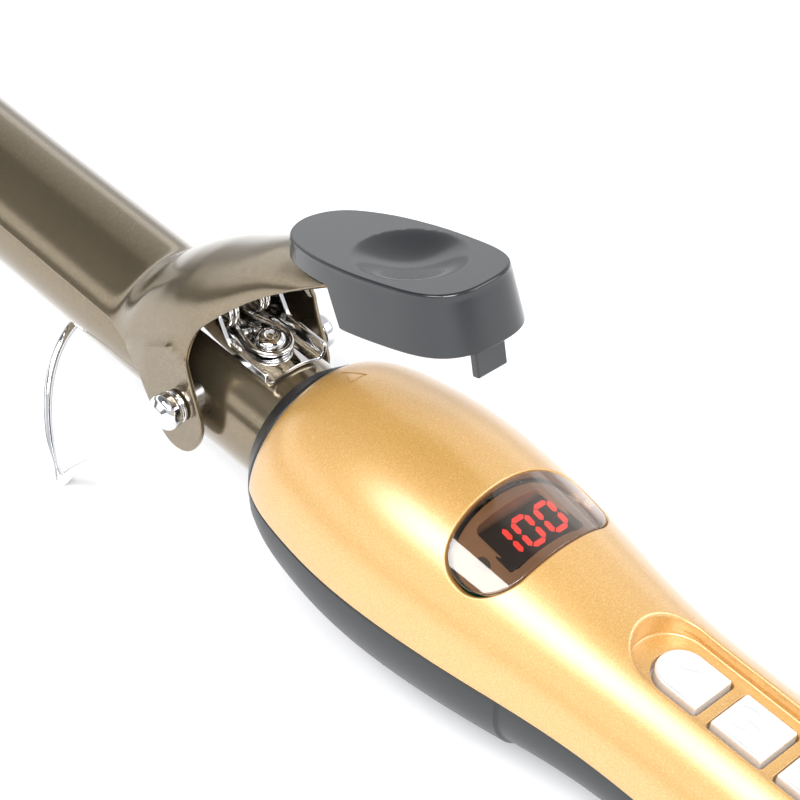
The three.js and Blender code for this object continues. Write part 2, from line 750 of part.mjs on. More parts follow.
/** The clamp seen from the side: spoon, ear and tongue. */
function clampSideShape() {
  const shape = new THREE.Shape();
  shape.moveTo(SPOON_TIP, 60);
  shape.lineTo(SPOON_TIP, 11.5);
  shape.quadraticCurveTo(SPOON_TIP - 0.5, SPOON_EDGE_Z, SPOON_TIP - 9, SPOON_EDGE_Z);
  shape.lineTo(20, SPOON_EDGE_Z);
  shape.quadraticCurveTo(13.5, 4.6, 10.2, 0.3);
  shape.lineTo(7.4, -3.4);
  shape.quadraticCurveTo(4.2, -8.1, 1, -8.1);
  shape.quadraticCurveTo(-3.4, -8.1, -5.6, -3.4);
  shape.quadraticCurveTo(-7.4, 0.6, -5.9, 3.5);
  shape.lineTo(-4.4, 6.6);
  shape.quadraticCurveTo(-1.2, 12.6, -1, 16);
  shape.quadraticCurveTo(-0.9, 19.4, -3, 22);
  shape.quadraticCurveTo(-8.2, 29.2, -14.2, 34.6);
  shape.quadraticCurveTo(-18.5, 38.4, -23, 41.8);
  shape.lineTo(-30, 46.6);
  shape.lineTo(-30, 60);
  return shape;
}

/** A solid drawn in the lever's own frame, moved to its place on the iron. */
const inLeverFrame = (body) =>
  body.rotate([THREE.MathUtils.radToDeg(-LEVER_RISE), 0, 0]).translate(LEVER_ORIGIN);

function clampPlate() {
  const sheet = clampTunnel(0).subtract(clampTunnel(SHEET));
  const screwHole = rod("z", 1.6, -12, 0, [0, LEVER_SCREW_Y, 0], 12);
  return sheet
    .intersect(across(clampSideShape(), -25, 25, 5))
    .subtract(rod("x", PIN_RADIUS + GAP, -25, 25, [0, 0, PIVOT_Z], 16))
    .subtract(inLeverFrame(screwHole));
}

/** Half of the lever's outline in plan, [x, y] from its front point to its rear. */
const LEVER_OUTLINE = [
  [0, 7.8],
  [2.6, 7.2],
  [4.9, 5.7],
  [6.9, 3.0],
  [8.3, -0.6],
  [9.5, -5.5],
  [10.2, -11],
  [10.5, -17],
  [10.3, -24],
  [9.6, -30.2],
  [8, -34.1],
  [5.2, -36.4],
  [0, -37.2],
];

/** The lever's outline at one height, grown outwards by an amount. */
function leverRing(z, grow) {
  const half = LEVER_OUTLINE.map(([x, y]) => new THREE.Vector2(x, y));
  const whole = [...half, ...half.slice(1, -1).reverse().map((p) => new THREE.Vector2(-p.x, p.y))];
  const outline = new THREE.CatmullRomCurve3(
    whole.map((p) => vec(p.x, p.y, 0)),
    true,
    "centripetal",
  );
  const middleY = -16;
  const ringPoints = outline.getPoints(44).slice(0, -1);
  return ringPoints.map((p) => {
    const out = vec(p.x, p.y - middleY, 0);
    const scale = (out.length() + grow) / out.length();
    return vec(out.x * scale, out.y * scale + middleY, z);
  });
}

function leverBody() {
  const outer = loft([leverRing(-LEVER_HEIGHT, LEVER_DRAFT), leverRing(-0.6, 0), leverRing(0, -0.5)]);
  const inner = loft([leverRing(-LEVER_HEIGHT - 1, LEVER_DRAFT - 2), leverRing(-4.2, -2)]);
  const hollow = inner.intersect(box(-20, 20, -40, LEVER_SKIRT_Y - 2, -30, 0));
  const underLip = across(
    shapeOf([
      [12, -LEVER_LIP],
      [LEVER_LIP_END, -LEVER_LIP],
      [LEVER_SKIRT_Y, -LEVER_HEIGHT - 1],
      [12, -LEVER_HEIGHT - 1],
    ]),
    -20,
    20,
  );
  const dish = new THREE.SphereGeometry(1, 24, 16)
    .scale(...LEVER_DISH.semi)
    .translate(...LEVER_DISH.centre);
  const { half, rear, front, bottom } = LEVER_TAB;
  const tab = box(-half, half, rear, front, bottom, -3);
  return outer.subtract(hollow).subtract(underLip).subtract(solid(dish)).add(tab);
}

function leverGroup() {
  const group = new THREE.Group();
  group.position.set(...LEVER_ORIGIN);
  group.rotation.x = -LEVER_RISE;
  const blindHole = rod("z", 1.5, -8, -0.9, [0, LEVER_SCREW_Y, 0], 12);
  add(group, "thumb_lever", leverBody().subtract(blindHole), leverPlastic);
  const head = rod("z", 2.4, -7.7, -6.1, [0, LEVER_SCREW_Y, 0], 16);
  const screw = head.add(rod("z", 1.1, -6.2, -1.3, [0, LEVER_SCREW_Y, 0], 10));
  add(group, "lever_screw", screw, steel);
  return group;
}

// ---------------------------------------------------------------- spring and bracket

/** One wire: a leg under the saddle, a coil, the loop round the screw, and the same again. */
function springRoute() {
  const points = [];
  const { outer: coilStart, inner: coilEnd } = SPRING_COIL;
  points.push(vec(coilStart, SPRING_Y + 1.4, SPRING_Z + 8.6));
  points.push(vec(coilStart, SPRING_Y + SPRING_RADIUS - 0.4, SPRING_Z + 5));
  const stepsPerTurn = 12;
  const steps = SPRING_TURNS * stepsPerTurn;
  for (let i = 0; i <= steps; i += 1) {
    const turn = (2 * Math.PI * i) / stepsPerTurn;
    points.push(
      vec(
        coilStart + ((coilEnd - coilStart) * i) / steps,
        SPRING_Y + SPRING_RADIUS * Math.cos(turn),
        SPRING_Z - SPRING_RADIUS * Math.sin(turn),
      ),
    );
  }
  const loopRadius = 3.85;
  const loopZ = SPRING_Z - SPRING_RADIUS;
  for (const degrees of [190, 210, 235, 260]) {
    const turn = THREE.MathUtils.degToRad(degrees);
    const y = BRACKET_SCREW_Y + loopRadius * Math.sin(turn);
    points.push(vec(loopRadius * Math.cos(turn), y, loopZ));
  }
  const mirrored = points.map((p) => vec(-p.x, p.y, p.z)).reverse();
  return [...points, ...mirrored];
}

function springBracket() {
  const inner = BARREL_RADIUS + GAP;
  const outer = inner + BRACKET_SHEET;
  const spread = Math.asin(BRACKET_HALF / outer);
  const section = new THREE.Shape();
  section.absarc(0, 0, outer, Math.PI / 2 - spread, Math.PI / 2 + spread);
  section.absarc(0, 0, inner, Math.PI / 2 + spread, Math.PI / 2 - spread, true);
  const { foot, low, shoulderY, topHalf, above } = BRACKET_FLANGE;
  const flange = shapeOf([
    [BRACKET_REAR, foot],
    [BRACKET_FRONT, foot],
    [BRACKET_FRONT, SPRING_Z],
    [SPRING_Y + topHalf, SPRING_Z + above],
    [SPRING_Y - topHalf, SPRING_Z + above],
    [shoulderY, low],
    [BRACKET_REAR, low],
  ]);
  return lengthwise(section, BRACKET_REAR, BRACKET_FRONT, 5)
    .add(across(flange, -BRACKET_HALF, -BRACKET_HALF + BRACKET_SHEET))
    .add(across(flange, BRACKET_HALF - BRACKET_SHEET, BRACKET_HALF))
    .subtract(rod("x", AXLE_RADIUS + GAP, -10, 10, [0, SPRING_Y, SPRING_Z], 12))
    .subtract(rod("z", BRACKET_SCREW.hole, 5, 20, [0, BRACKET_SCREW_Y, 0], 12));
}

function springGroup() {
  const group = new THREE.Group();
  add(group, "spring_bracket", springBracket(), chrome);
  const reach = BRACKET_HALF + 0.6;
  const axle = rod("x", AXLE_RADIUS, -reach, reach, [0, SPRING_Y, SPRING_Z], 12);
  add(group, "spring_axle", axle, chrome);
  const { head: radius, headFrom, headTo, shank, slot: width } = BRACKET_SCREW;
  const centre = [0, BRACKET_SCREW_Y, 0];
  const head = rod("z", radius, headFrom, headTo, centre, 20);
  const [slotRear, slotFront] = [BRACKET_SCREW_Y - 2, BRACKET_SCREW_Y + 2];
  const slot = box(-width / 2, width / 2, slotRear, slotFront, headTo - 0.8, headTo + 1);
  const screw = head.subtract(slot).add(rod("z", shank, 8.5, headFrom + 0.1, centre, 12));
  add(group, "bracket_screw", screw, chrome);
  add(group, "torsion_spring", wire(springRoute(), SPRING_WIRE_RADIUS, 92, 5), chrome);
  return group;
}

// ---------------------------------------------------------------- stand

/** The stand's wire: a leg from the right ball down to its foot, the arch, and back up. */
function standRoute() {
  const [footX, footY, footZ] = STAND_FOOT;
  const ball = vec(STAND_BALL_X, 0, PIVOT_Z);
  const foot = vec(footX, footY, footZ);
  const leg = foot.clone().sub(ball);
  const along = (t) => ball.clone().addScaledVector(leg, t);
  const points = [along(0.024), along(0.35), along(0.7), along(0.93), along(0.985)];
  const archSteps = 14;
  for (let i = 1; i <= archSteps / 2; i += 1) {
    const turn = (Math.PI * i) / archSteps;
    const rise = STAND_ARCH_HEIGHT * Math.sin(turn);
    points.push(
      vec(
        footX * Math.cos(turn),
        footY + rise * Math.cos(STAND_ARCH_RISE),
        footZ + rise * Math.sin(STAND_ARCH_RISE),
      ),
    );
  }
  const mirrored = points.slice(0, -1).map((p) => vec(-p.x, p.y, p.z));
  return [...points, ...mirrored.reverse()];
}

/** A ball-headed pin: shank through bush and ear, washer, and the head that holds the wire. */
function ballPin(side) {
  const profile = [
    [0, PIN.inner],
    [PIN_RADIUS, PIN.inner],
    [PIN_RADIUS, PIN.washerFrom],
    [PIN.washer, PIN.washerFrom],
    [PIN.washer, PIN.washerTo],
  ];
  const headSteps = 8;
  for (let i = 1; i <= headSteps; i += 1) {
    const turn = -Math.PI / 3 + ((5 * Math.PI) / 6) * (i / headSteps);
    const reach = PIN.headLength * Math.sin(turn);
    profile.push([PIN.head * Math.cos(turn), STAND_BALL_X + 0.3 + reach]);
  }
  profile.at(-1)[0] = 0;
  const points = profile.map(([r, y]) => new THREE.Vector2(r, y));
  const turned = new THREE.LatheGeometry(points, 16).rotateZ(-Math.PI / 2);
  const pin = solid(turned.translate(0, 0, PIVOT_Z));
  const hole = wire(standRoute().slice(0, 3), STAND_WIRE_RADIUS + 0.25, 4, 8);
  const drilled = pin.subtract(hole);
  return side > 0 ? drilled : drilled.mirror([1, 0, 0]);
}

function pivotBush(side) {
  const bush = rod("x", BUSH_RADIUS, 10.9, EAR_X - SHEET - GAP, [0, 0, PIVOT_Z], 20);
  const bored = bush.subtract(rod("x", PIN_RADIUS + 0.25, 5, 20, [0, 0, PIVOT_Z], 16));
  return side > 0 ? bored : bored.mirror([1, 0, 0]);
}

function standGroup() {
  const group = new THREE.Group();
  for (const [name, side] of Object.entries({ left: -1, right: 1 })) {
    add(group, `pivot_bush_${name}`, pivotBush(side), steel);
    add(group, `pivot_pin_${name}`, ballPin(side), chrome);
  }
  add(group, "stand_wire", wire(standRoute(), STAND_WIRE_RADIUS, 70, 6), chrome);
  return group;
}

// ---------------------------------------------------------------- assembly

const iron = new THREE.Group();
iron.add(barrelGroup(), handleGroup(), electronicsGroup(), swivelGroup());
const clampGroup = new THREE.Group();
add(clampGroup, "clamp_plate", clampPlate(), pearlBronze);
clampGroup.add(leverGroup());
iron.add(clampGroup, springGroup(), standGroup());

/** A mesh's corners, in the iron's own frame. */
function cornersOf(name) {
  const { position } = iron.getObjectByName(name).geometry.attributes;
  return Array.from({ length: position.count }, (_, i) => vec(0, 0, 0).fromBufferAttribute(position, i));
}

/** The tilt that puts both the stand's foot and the handle's lower shell on the table. */
function restingTilt() {
  const wireCorners = cornersOf("stand_wire");
  const shellCorners = cornersOf("handle_bottom_shell");
  let tilt = 0;
  for (let round = 0; round < 3; round += 1) {
    const height = (p) => p.y * Math.sin(tilt) + p.z * Math.cos(tilt);
    const foot = wireCorners.reduce((low, p) => (height(p) < height(low) ? p : low));
    const angles = shellCorners.map((p) => Math.atan2(p.z - foot.z, foot.y - p.y));
    tilt = angles.reduce((least, angle) => Math.min(least, angle));
  }
  return tilt;
}

iron.rotation.x = restingTilt();
iron.updateMatrixWorld(true);
const bounds = new THREE.Box3().setFromObject(iron, true);
const middle = bounds.getCenter(vec(0, 0, 0));
iron.position.set(-middle.x, -middle.y, -bounds.min.z);

const curlingIron = new THREE.Group();
curlingIron.add(iron);

export default curlingIron;
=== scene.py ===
"""Looks of a hair curling iron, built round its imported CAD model.

Shapes are drawn in the iron's own frame, in millimetres: +Y runs along the barrel to the tip, +Z is
the clamp and display side, +X is the right-hand side, and the origin is on the barrel's axis under
the clamp's pivot. IRON carries that frame into the row frame, in metres.
"""

import json
import math

import bpy
import numpy as np
from mathutils import Matrix, Vector
from mathutils.geometry import delaunay_2d_cdt


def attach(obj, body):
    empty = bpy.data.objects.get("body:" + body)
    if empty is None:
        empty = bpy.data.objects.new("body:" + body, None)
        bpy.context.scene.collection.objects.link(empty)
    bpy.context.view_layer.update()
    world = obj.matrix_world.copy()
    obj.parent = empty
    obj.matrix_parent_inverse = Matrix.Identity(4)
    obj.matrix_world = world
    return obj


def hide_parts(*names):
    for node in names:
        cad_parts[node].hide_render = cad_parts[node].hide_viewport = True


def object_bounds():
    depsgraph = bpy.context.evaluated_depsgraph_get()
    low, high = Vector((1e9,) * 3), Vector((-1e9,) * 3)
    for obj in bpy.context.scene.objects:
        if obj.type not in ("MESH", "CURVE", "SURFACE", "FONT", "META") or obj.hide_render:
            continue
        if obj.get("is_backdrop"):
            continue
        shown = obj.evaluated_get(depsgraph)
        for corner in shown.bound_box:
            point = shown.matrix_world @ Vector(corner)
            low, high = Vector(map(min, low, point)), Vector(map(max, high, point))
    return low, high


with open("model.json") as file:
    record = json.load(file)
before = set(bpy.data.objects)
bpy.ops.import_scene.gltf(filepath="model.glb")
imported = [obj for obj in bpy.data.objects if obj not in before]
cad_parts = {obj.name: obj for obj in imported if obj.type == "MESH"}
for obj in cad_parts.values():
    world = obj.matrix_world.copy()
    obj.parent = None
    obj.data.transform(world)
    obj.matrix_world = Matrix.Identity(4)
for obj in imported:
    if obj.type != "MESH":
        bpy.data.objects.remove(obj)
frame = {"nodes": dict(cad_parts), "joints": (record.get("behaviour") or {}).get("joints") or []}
cad_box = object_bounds()

# ------------------------------------------------------------------ the iron's own frame

MM = 0.001
PIVOT_Z = 2.8  # the pivot's height over the barrel's axis

JOINTS = {joint["name"]: joint for joint in frame["joints"]}
forward = Vector(JOINTS["cord_swivel_turn"]["axis"])
TILT = Matrix.Rotation(math.atan2(forward.z, forward.y), 4, "X")
PIVOT = Vector(JOINTS["clamp_hinge"]["pos_m"])
IRON = Matrix.Translation(PIVOT) @ TILT @ Matrix.Translation((0, 0, -PIVOT_Z * MM))


def extent(node):
    """Lowest and highest corner of a CAD node in the iron's own frame, in millimetres."""
    inverse = IRON.inverted()
    corners = np.array([inverse @ v.co for v in frame["nodes"][node].data.vertices]) / MM
    return corners.min(0), corners.max(0)


# ------------------------------------------------------------------ curves


def unit(vectors):
    length = np.linalg.norm(vectors, axis=-1, keepdims=True)
    return vectors / np.maximum(length, 1e-12)


class Spline:
    """A smooth curve through points, called with the distance along their chords."""

    def __init__(self, points):
        self.points = np.asarray(points, float)
        step = np.linalg.norm(np.diff(self.points, axis=0), axis=1)
        self.along = np.concatenate([[0], np.cumsum(step)])
        count = len(self.points)
        rows = np.eye(count)
        right = np.zeros_like(self.points)
        slope = np.diff(self.points, axis=0) / step[:, None]
        for i in range(1, count - 1):
            rows[i, i - 1 : i + 2] = step[i - 1], 2 * (step[i - 1] + step[i]), step[i]
            right[i] = 6 * (slope[i] - slope[i - 1])
        self.bend = np.linalg.solve(rows, right)

    @property
    def length(self):
        return self.along[-1]

    def __call__(self, distance):
        t = np.clip(distance, 0, self.length)
        i = np.clip(np.searchsorted(self.along, t, side="right") - 1, 0, len(self.along) - 2)
        span = self.along[i + 1] - self.along[i]
        before = ((self.along[i + 1] - t) / span)[..., None]
        after = 1 - before
        curve = (before**3 - before) * self.bend[i] + (after**3 - after) * self.bend[i + 1]
        straight = before * self.points[i] + after * self.points[i + 1]
        return straight + curve * (span**2)[..., None] / 6

    def sampled(self, step):
        return self(np.linspace(0, self.length, max(3, int(self.length / step))))


def rounded(corners, closed=False, step=0.35):
    """A line through (a, b, radius) corners, each turned into an arc of that radius.

    Gives its points and their right-hand normals. A corner of radius 0 stays sharp: it has two
    points in one place, one for each side's normal.
    """
    corners = [np.array(corner, float) for corner in corners]
    count = len(corners)
    points, normals = [], []
    for i, corner in enumerate(corners):
        here, radius = corner[:2], corner[2]
        before = unit(here - corners[i - 1][:2]) if closed or i > 0 else None
        after = unit(corners[(i + 1) % count][:2] - here) if closed or i < count - 1 else None
        if before is None or after is None:
            way = after if before is None else before
            points.append(here)
            normals.append([way[1], -way[0]])
            continue
        turn = math.atan2(before[0] * after[1] - before[1] * after[0], before @ after)
        if radius == 0 or abs(turn) < 1e-4:
            points += [here, here]
            normals += [[before[1], -before[0]], [after[1], -after[0]]]
            continue
        start = here - before * radius * math.tan(abs(turn) / 2)
        side = math.copysign(1, turn)
        centre = start + side * radius * np.array([-before[1], before[0]])
        steps = max(3, int(abs(turn) * radius / step), int(abs(turn) / 0.25))
        first = math.atan2(*(start - centre)[::-1])
        for angle in first + np.linspace(0, turn, steps + 1):
            out = np.array([math.cos(angle), math.sin(angle)])
            points.append(centre + radius * out)
            normals.append(side * out)
    return np.array(points), np.array(normals)


def dense(points, normals, step):
    """A closed line of points and normals with long sides split into steps."""
    spots, ways = [], []
    for i in range(len(points)):
        j = (i + 1) % len(points)
        parts = max(1, int(np.linalg.norm(points[j] - points[i]) / step))
        share = np.arange(parts)[:, None] / parts
        spots.append(points[i] * (1 - share) + points[j] * share)
        ways.append(unit(normals[i] * (1 - share) + normals[j] * share))
    return np.concatenate(spots), np.concatenate(ways)


def loop_of(corners, step=0.5):
    """A closed outline with rounded corners, counter-clockwise: its points and outward normals."""
    return dense(*rounded(corners, closed=True), step)


def rectangle(half, rear, front, rear_radius, front_radius, step):
    """A rectangle with rounded corners, half its width either side of the middle."""
    right = [(half, rear, rear_radius), (half, front, front_radius)]
    return loop_of(right + [(-x, y, radius) for x, y, radius in right[::-1]], step)


# ------------------------------------------------------------------ surfaces


class Surface:
    """Points, their normals and the faces between them."""

    def __init__(self):
        self.points, self.normals, self.faces, self.count = [], [], [], 0

    def add(self, points, normals, faces):
        points = np.asarray(points, float).reshape(-1, 3)
        if np.ndim(normals) == 1:
            normals = np.broadcast_to(np.asarray(normals, float), points.shape)
        self.points.append(points)
        self.normals.append(unit(np.asarray(normals, float).reshape(-1, 3)))
        self.faces.append(np.asarray(faces, int) + self.count)
        self.count += len(points)

    def grid(self, points, normals, wrap=True):
        """Quads over rows of points. wrap joins the end of each row to its start."""
        rows, columns = points.shape[:2]
        across = np.arange(columns if wrap else columns - 1)
        row, column = np.meshgrid(np.arange(rows - 1), across, indexing="ij")
        after = (column + 1) % columns
        here = row * columns
        above = here + columns
        quads = np.stack([here + column, here + after, above + after, above + column], -1)
        self.add(points, normals, quads.reshape(-1, 4))

    def moved(self, matrix):
        """The same surface carried by a 4 x 4 matrix that keeps lengths."""
        turn = np.array(matrix)[:3, :3]
        shift = np.array(matrix)[:3, 3]
        self.points = [p @ turn.T + shift for p in self.points]
        self.normals = [n @ turn.T for n in self.normals]
        return self

    def join(self, *others):
        for other in others:
            for points, normals, faces in zip(other.points, other.normals, other.rebased()):
                self.add(points, normals, faces)
        return self

    def rebased(self):
        """Each block's faces, counted from that block's own first point."""
        starts = np.cumsum([0] + [len(p) for p in self.points[:-1]])
        return [faces - start for faces, start in zip(self.faces, starts)]


def mesh_of(name, surface):
    """A mesh in the row frame: shared points merged, faces turned to their normals."""
    turn = np.array(IRON.to_3x3())
    points = np.concatenate(surface.points)
    normals = np.concatenate(surface.normals) @ turn.T
    _, first, merged = np.unique(np.round(points, 3), axis=0, return_index=True, return_inverse=True)
    merged = merged.reshape(-1)
    places = points[first] * MM @ turn.T + np.array(IRON.translation)
    faces, corner_normals = [], []
    for block in surface.faces:
        for face in block:
            corners = merged[face]
            kept = [k for k in range(len(face)) if corners[k] != corners[k - 1]]
            if len(kept) < 3 or len({corners[k] for k in kept}) < len(kept):
                continue
            ring = places[corners[kept]]
            area = np.cross(ring[1] - ring[0], ring[2] - ring[0])
            if len(kept) == 4:
                area = np.cross(ring[2] - ring[0], ring[3] - ring[1])
            ways = normals[face[kept]]
            if area @ ways.sum(0) < 0:
                kept = kept[::-1]
                ways = ways[::-1]
            faces.append([int(corners[k]) for k in kept])
            corner_normals.extend(ways)
    mesh = bpy.data.meshes.new(name)
    mesh.from_pydata(places.tolist(), [], faces)
    mesh.polygons.foreach_set("use_smooth", [True] * len(mesh.polygons))
    mesh.normals_split_custom_set(np.array(corner_normals).tolist())
    mesh.update()
    return mesh


def piece(name, surface, material, body, slot, *replaced):
    """One visible piece on a CAD body, standing for the CAD nodes it replaces."""
    made = bpy.data.objects.new(name, mesh_of(name, surface))
    bpy.context.scene.collection.objects.link(made)
    made.data.materials.append(material)
    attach(made, body)
    if replaced:
        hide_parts(*replaced)
    return made


def lathe(corners, closed=False, segments=64, axis="y", centre=(0, 0, 0), step=0.35):
    """A turned surface from (radius, place along the axis, corner radius) corners."""
    line, ways = rounded(corners, closed, step)
    if closed:
        line = np.concatenate([line, line[:1]])
        ways = np.concatenate([ways, ways[:1]])
    turn = np.linspace(0, 2 * np.pi, segments, endpoint=False)
    wheel = np.stack([np.sin(turn), np.zeros(segments), np.cos(turn)], -1)
    rod = np.array([0.0, 1.0, 0.0])
    points = line[:, None, :1] * wheel + line[:, None, 1:] * rod
    normals = ways[:, None, :1] * wheel + ways[:, None, 1:] * rod
    order = {"x": [1, 0, 2], "y": [0, 1, 2], "z": [0, 2, 1]}[axis]
    made = Surface()
    made.grid(points[..., order] + np.array(centre, float), normals[..., order])
    return made


def sweep(route, radius, sides=14):
    """A wire of round section along a dense route, with rounded ends."""
    route = np.asarray(route, float)
    tangent = unit(np.gradient(route, axis=0))
    side = unit(np.cross(tangent[0], [0.3, 0.5, 0.8]))
    sides_along = []
    for way in tangent:
        side = unit(side - way * (side @ way))
        sides_along.append(side)
    across = np.array(sides_along)
    up = np.cross(tangent, across)
    turn = np.linspace(0, 2 * np.pi, sides, endpoint=False)[None, :, None]
    out = np.cos(turn) * across[:, None] + np.sin(turn) * up[:, None]
    made = Surface()
    made.grid(route[:, None] + radius * out, out)
    for end, sign in ((0, -1), (-1, 1)):
        lift = np.linspace(0, np.pi / 2, 5)[:, None, None]
        way = sign * tangent[end]
        dome = np.cos(lift) * out[end] + np.sin(lift) * way
        made.grid(route[end] + radius * dome, dome)
    return made


def ring_rows(loops):
    """Rows of a grid from a list of (points, normals)."""
    return np.stack([p for p, _ in loops]), np.stack([n for _, n in loops])


# ------------------------------------------------------------------ cut sheets


def inside(loop, points):
    """Which points lie within a closed loop."""
    start, end = loop, np.roll(loop, -1, 0)
    x, y = points[:, :1], points[:, 1:2]
    spans = (start[:, 1] > y) != (end[:, 1] > y)
    rise = np.where(np.abs(end[:, 1] - start[:, 1]) < 1e-12, 1e-12, end[:, 1] - start[:, 1])
    at_x = start[:, 0] + (end[:, 0] - start[:, 0]) * (y - start[:, 1]) / rise
    return (spans & (x < at_x)).sum(1) % 2 == 1


def distance_to(spots, points):
    nearest = np.full(len(points), np.inf)
    for chunk in np.array_split(spots, max(1, len(spots) // 200)):
        gap = np.linalg.norm(points[:, None] - chunk, axis=-1).min(1)
        nearest = np.minimum(nearest, gap)
    return nearest


def triangulated(outline, holes=(), creases=(), spacing=1.0):
    """Triangles that fill a flat outline round its holes, with edges along its creases."""
    loops = [outline, *holes, *creases]
    low, high = outline.min(0), outline.max(0)
    rows = np.arange(low[1] + spacing / 2, high[1], spacing * 0.866)
    spots = []
    for k, row in enumerate(rows):
        columns = np.arange(low[0] + spacing * (0.5 if k % 2 else 1.0), high[0], spacing)
        spots.append(np.stack([columns, np.full_like(columns, row)], -1))
    spots = np.concatenate(spots)
    keep = inside(outline, spots)
    for hole in holes:
        keep &= ~inside(hole, spots)
    spots = spots[keep]
    spots = spots[distance_to(np.concatenate(loops), spots) > 0.55 * spacing]
    points = np.concatenate([*loops, spots])
    edges = []
    start = 0
    for loop in loops:
        n = len(loop)
        edges += [(start + i, start + (i + 1) % n) for i in range(n)]
        start += n
    flat, _, faces, *_ = delaunay_2d_cdt([Vector(p) for p in points], edges, [], 0, 1e-5)
    flat = np.array([tuple(p) for p in flat])
    faces = np.array([f for f in faces if len(f) == 3])
    middle = flat[faces].mean(1)
    keep = inside(outline, middle)
    for hole in holes:
        keep &= ~inside(hole, middle)
    return flat, faces[keep]


def placed(place):
    """A function from flat points to places and normals, for a place function that bends a sheet."""

    def at(flat):
        nudge = 1e-3
        along = place(flat + [nudge, 0]) - place(flat - [nudge, 0])
        across = place(flat + [0, nudge]) - place(flat - [0, nudge])
        return place(flat), unit(np.cross(along, across))

    return at


def away_from_sheet(at, loop, places, normals, is_hole):
    """Unit vectors in the sheet that point off its edge, along a loop."""
    around = unit(np.roll(places, -1, 0) - np.roll(places, 1, 0))
    away = unit(np.cross(around, normals))
    step = np.roll(loop, -1, 0) - np.roll(loop, 1, 0)
    following = np.roll(loop, -1, 0)
    area = (loop[:, 0] * following[:, 1] - loop[:, 1] * following[:, 0]).sum()
    outward = unit(np.stack([step[:, 1], -step[:, 0]], -1)) * np.sign(area)
    if is_hole:
        outward = -outward
    ahead = at(loop + 0.01 * outward)[0] - places
    return away * np.sign((away * ahead).sum(-1, keepdims=True))


def rim(made, at, loop, is_hole, thickness, radius, steps=4):
    """The rounded edge of a sheet along one loop."""
    places, normals = at(loop)
    away = away_from_sheet(at, loop, places, normals, is_hole)
    rows = []
    for half in (0, 1):
        for angle in np.linspace(0, np.pi / 2, steps + 1) + half * np.pi / 2:
            depth = radius * (1 - math.cos(angle)) + half * (thickness - 2 * radius)
            spot = places + away * radius * math.sin(angle) - normals * depth
            rows.append((spot, normals * math.cos(angle) + away * math.sin(angle)))
    made.grid(*ring_rows(rows))


def sheet(at, outline, holes=(), bare_holes=(), thickness=1.0, radius=0.3, spacing=1.0, creases=()):
    """A bent sheet with rounded edges. Its bare holes get no edge."""
    made = Surface()
    flat, faces = triangulated(outline, [*holes, *bare_holes], creases, spacing)
    places, normals = at(flat)
    made.add(places, normals, faces)
    made.add(places - normals * thickness, -normals, faces)
    for loop, is_hole in [(outline, False), *((hole, True) for hole in holes)]:
        rim(made, at, loop, is_hole, thickness, radius)
    return made


# ------------------------------------------------------------------ materials


def connect(tree, node, inputs):
    """Links a node's named inputs to sockets, or sets them to values."""
    for key, value in inputs.items():
        socket = node.inputs[key.replace("_", " ")]
        if isinstance(value, bpy.types.NodeSocket):
            tree.links.new(value, socket)
        else:
            socket.default_value = value


def add_node(tree, kind, **inputs):
    made = tree.nodes.new(kind)
    connect(tree, made, inputs)
    return made


def colour_ramp(tree, factor, *stops):
    """A colour ramp from (place, colour) stops."""
    made = add_node(tree, "ShaderNodeValToRGB", Fac=factor)
    ramp = made.color_ramp
    while len(ramp.elements) < len(stops):
        ramp.elements.new(0.5)
    for element, (place, colour) in zip(ramp.elements, stops):
        element.position = place
        element.color = (*colour, 1)
    return made.outputs["Color"]


class Look:
    """A Principled material that is built up from nodes."""

    def __init__(self, name):
        self.material = bpy.data.materials.new(name)
        self.material.use_nodes = True
        self.tree = self.material.node_tree
        self.shader = self.tree.nodes["Principled BSDF"]

    def node(self, kind, **inputs):
        return add_node(self.tree, kind, **inputs)

    def set(self, **inputs):
        connect(self.tree, self.shader, inputs)
        return self

    def noise(self, scale, detail=2.0, roughness=0.5):
        """Noise fixed to the object, with scale in bumps per metre."""
        coordinates = self.node("ShaderNodeTexCoord").outputs["Object"]
        made = self.node("ShaderNodeTexNoise", Vector=coordinates, Scale=scale, Detail=detail)
        made.inputs["Roughness"].default_value = roughness
        return made.outputs["Fac"]

    def ramp(self, factor, *stops):
        return colour_ramp(self.tree, factor, *stops)

    def range(self, factor, low, high):
        """A factor from 0 to 1 mapped to low to high."""
        made = self.node("ShaderNodeMapRange", Value=factor, To_Min=low, To_Max=high)
        return made.outputs["Result"]

    def bump(self, height, strength, distance=0.0001):
        made = self.node("ShaderNodeBump", Height=height, Strength=strength, Distance=distance)
        return self.set(Normal=made.outputs["Normal"])


def shade(colour, share):
    return tuple(c * share for c in colour)


def pearl_bronze():
    """Dark taupe enamel with fine metallic flakes under a clear coat."""
    look = Look("pearl_bronze")
    flakes = look.noise(5200, detail=1.0)
    clouds = look.noise(60, detail=2.0)
    base = (0.235, 0.187, 0.12)
    colour = look.ramp(flakes, (0.3, shade(base, 0.78)), (0.55, base), (0.75, shade(base, 1.5)))
    look.set(Base_Color=colour, Metallic=0.85, Roughness=look.range(clouds, 0.16, 0.21))
    look.set(Coat_Weight=0.6, Coat_Roughness=0.1, Coat_IOR=1.5)
    return look.bump(flakes, 0.12, 0.00004).material


def gold_pearl():
    """Satin gold paint with a fine pearl grain."""
    look = Look("gold_pearl")
    grain = look.noise(4200, detail=2.0, roughness=0.6)
    clouds = look.noise(45, detail=2.0)
    base = (0.63, 0.35, 0.092)
    colour = look.ramp(grain, (0.25, shade(base, 0.84)), (0.5, base), (0.75, (0.78, 0.51, 0.19)))
    look.set(Base_Color=colour, Metallic=0.3, Roughness=look.range(clouds, 0.34, 0.4))
    look.set(Coat_Weight=1.0, Coat_Roughness=0.28, Coat_IOR=1.9)
    return look.bump(grain, 0.14, 0.00005).material


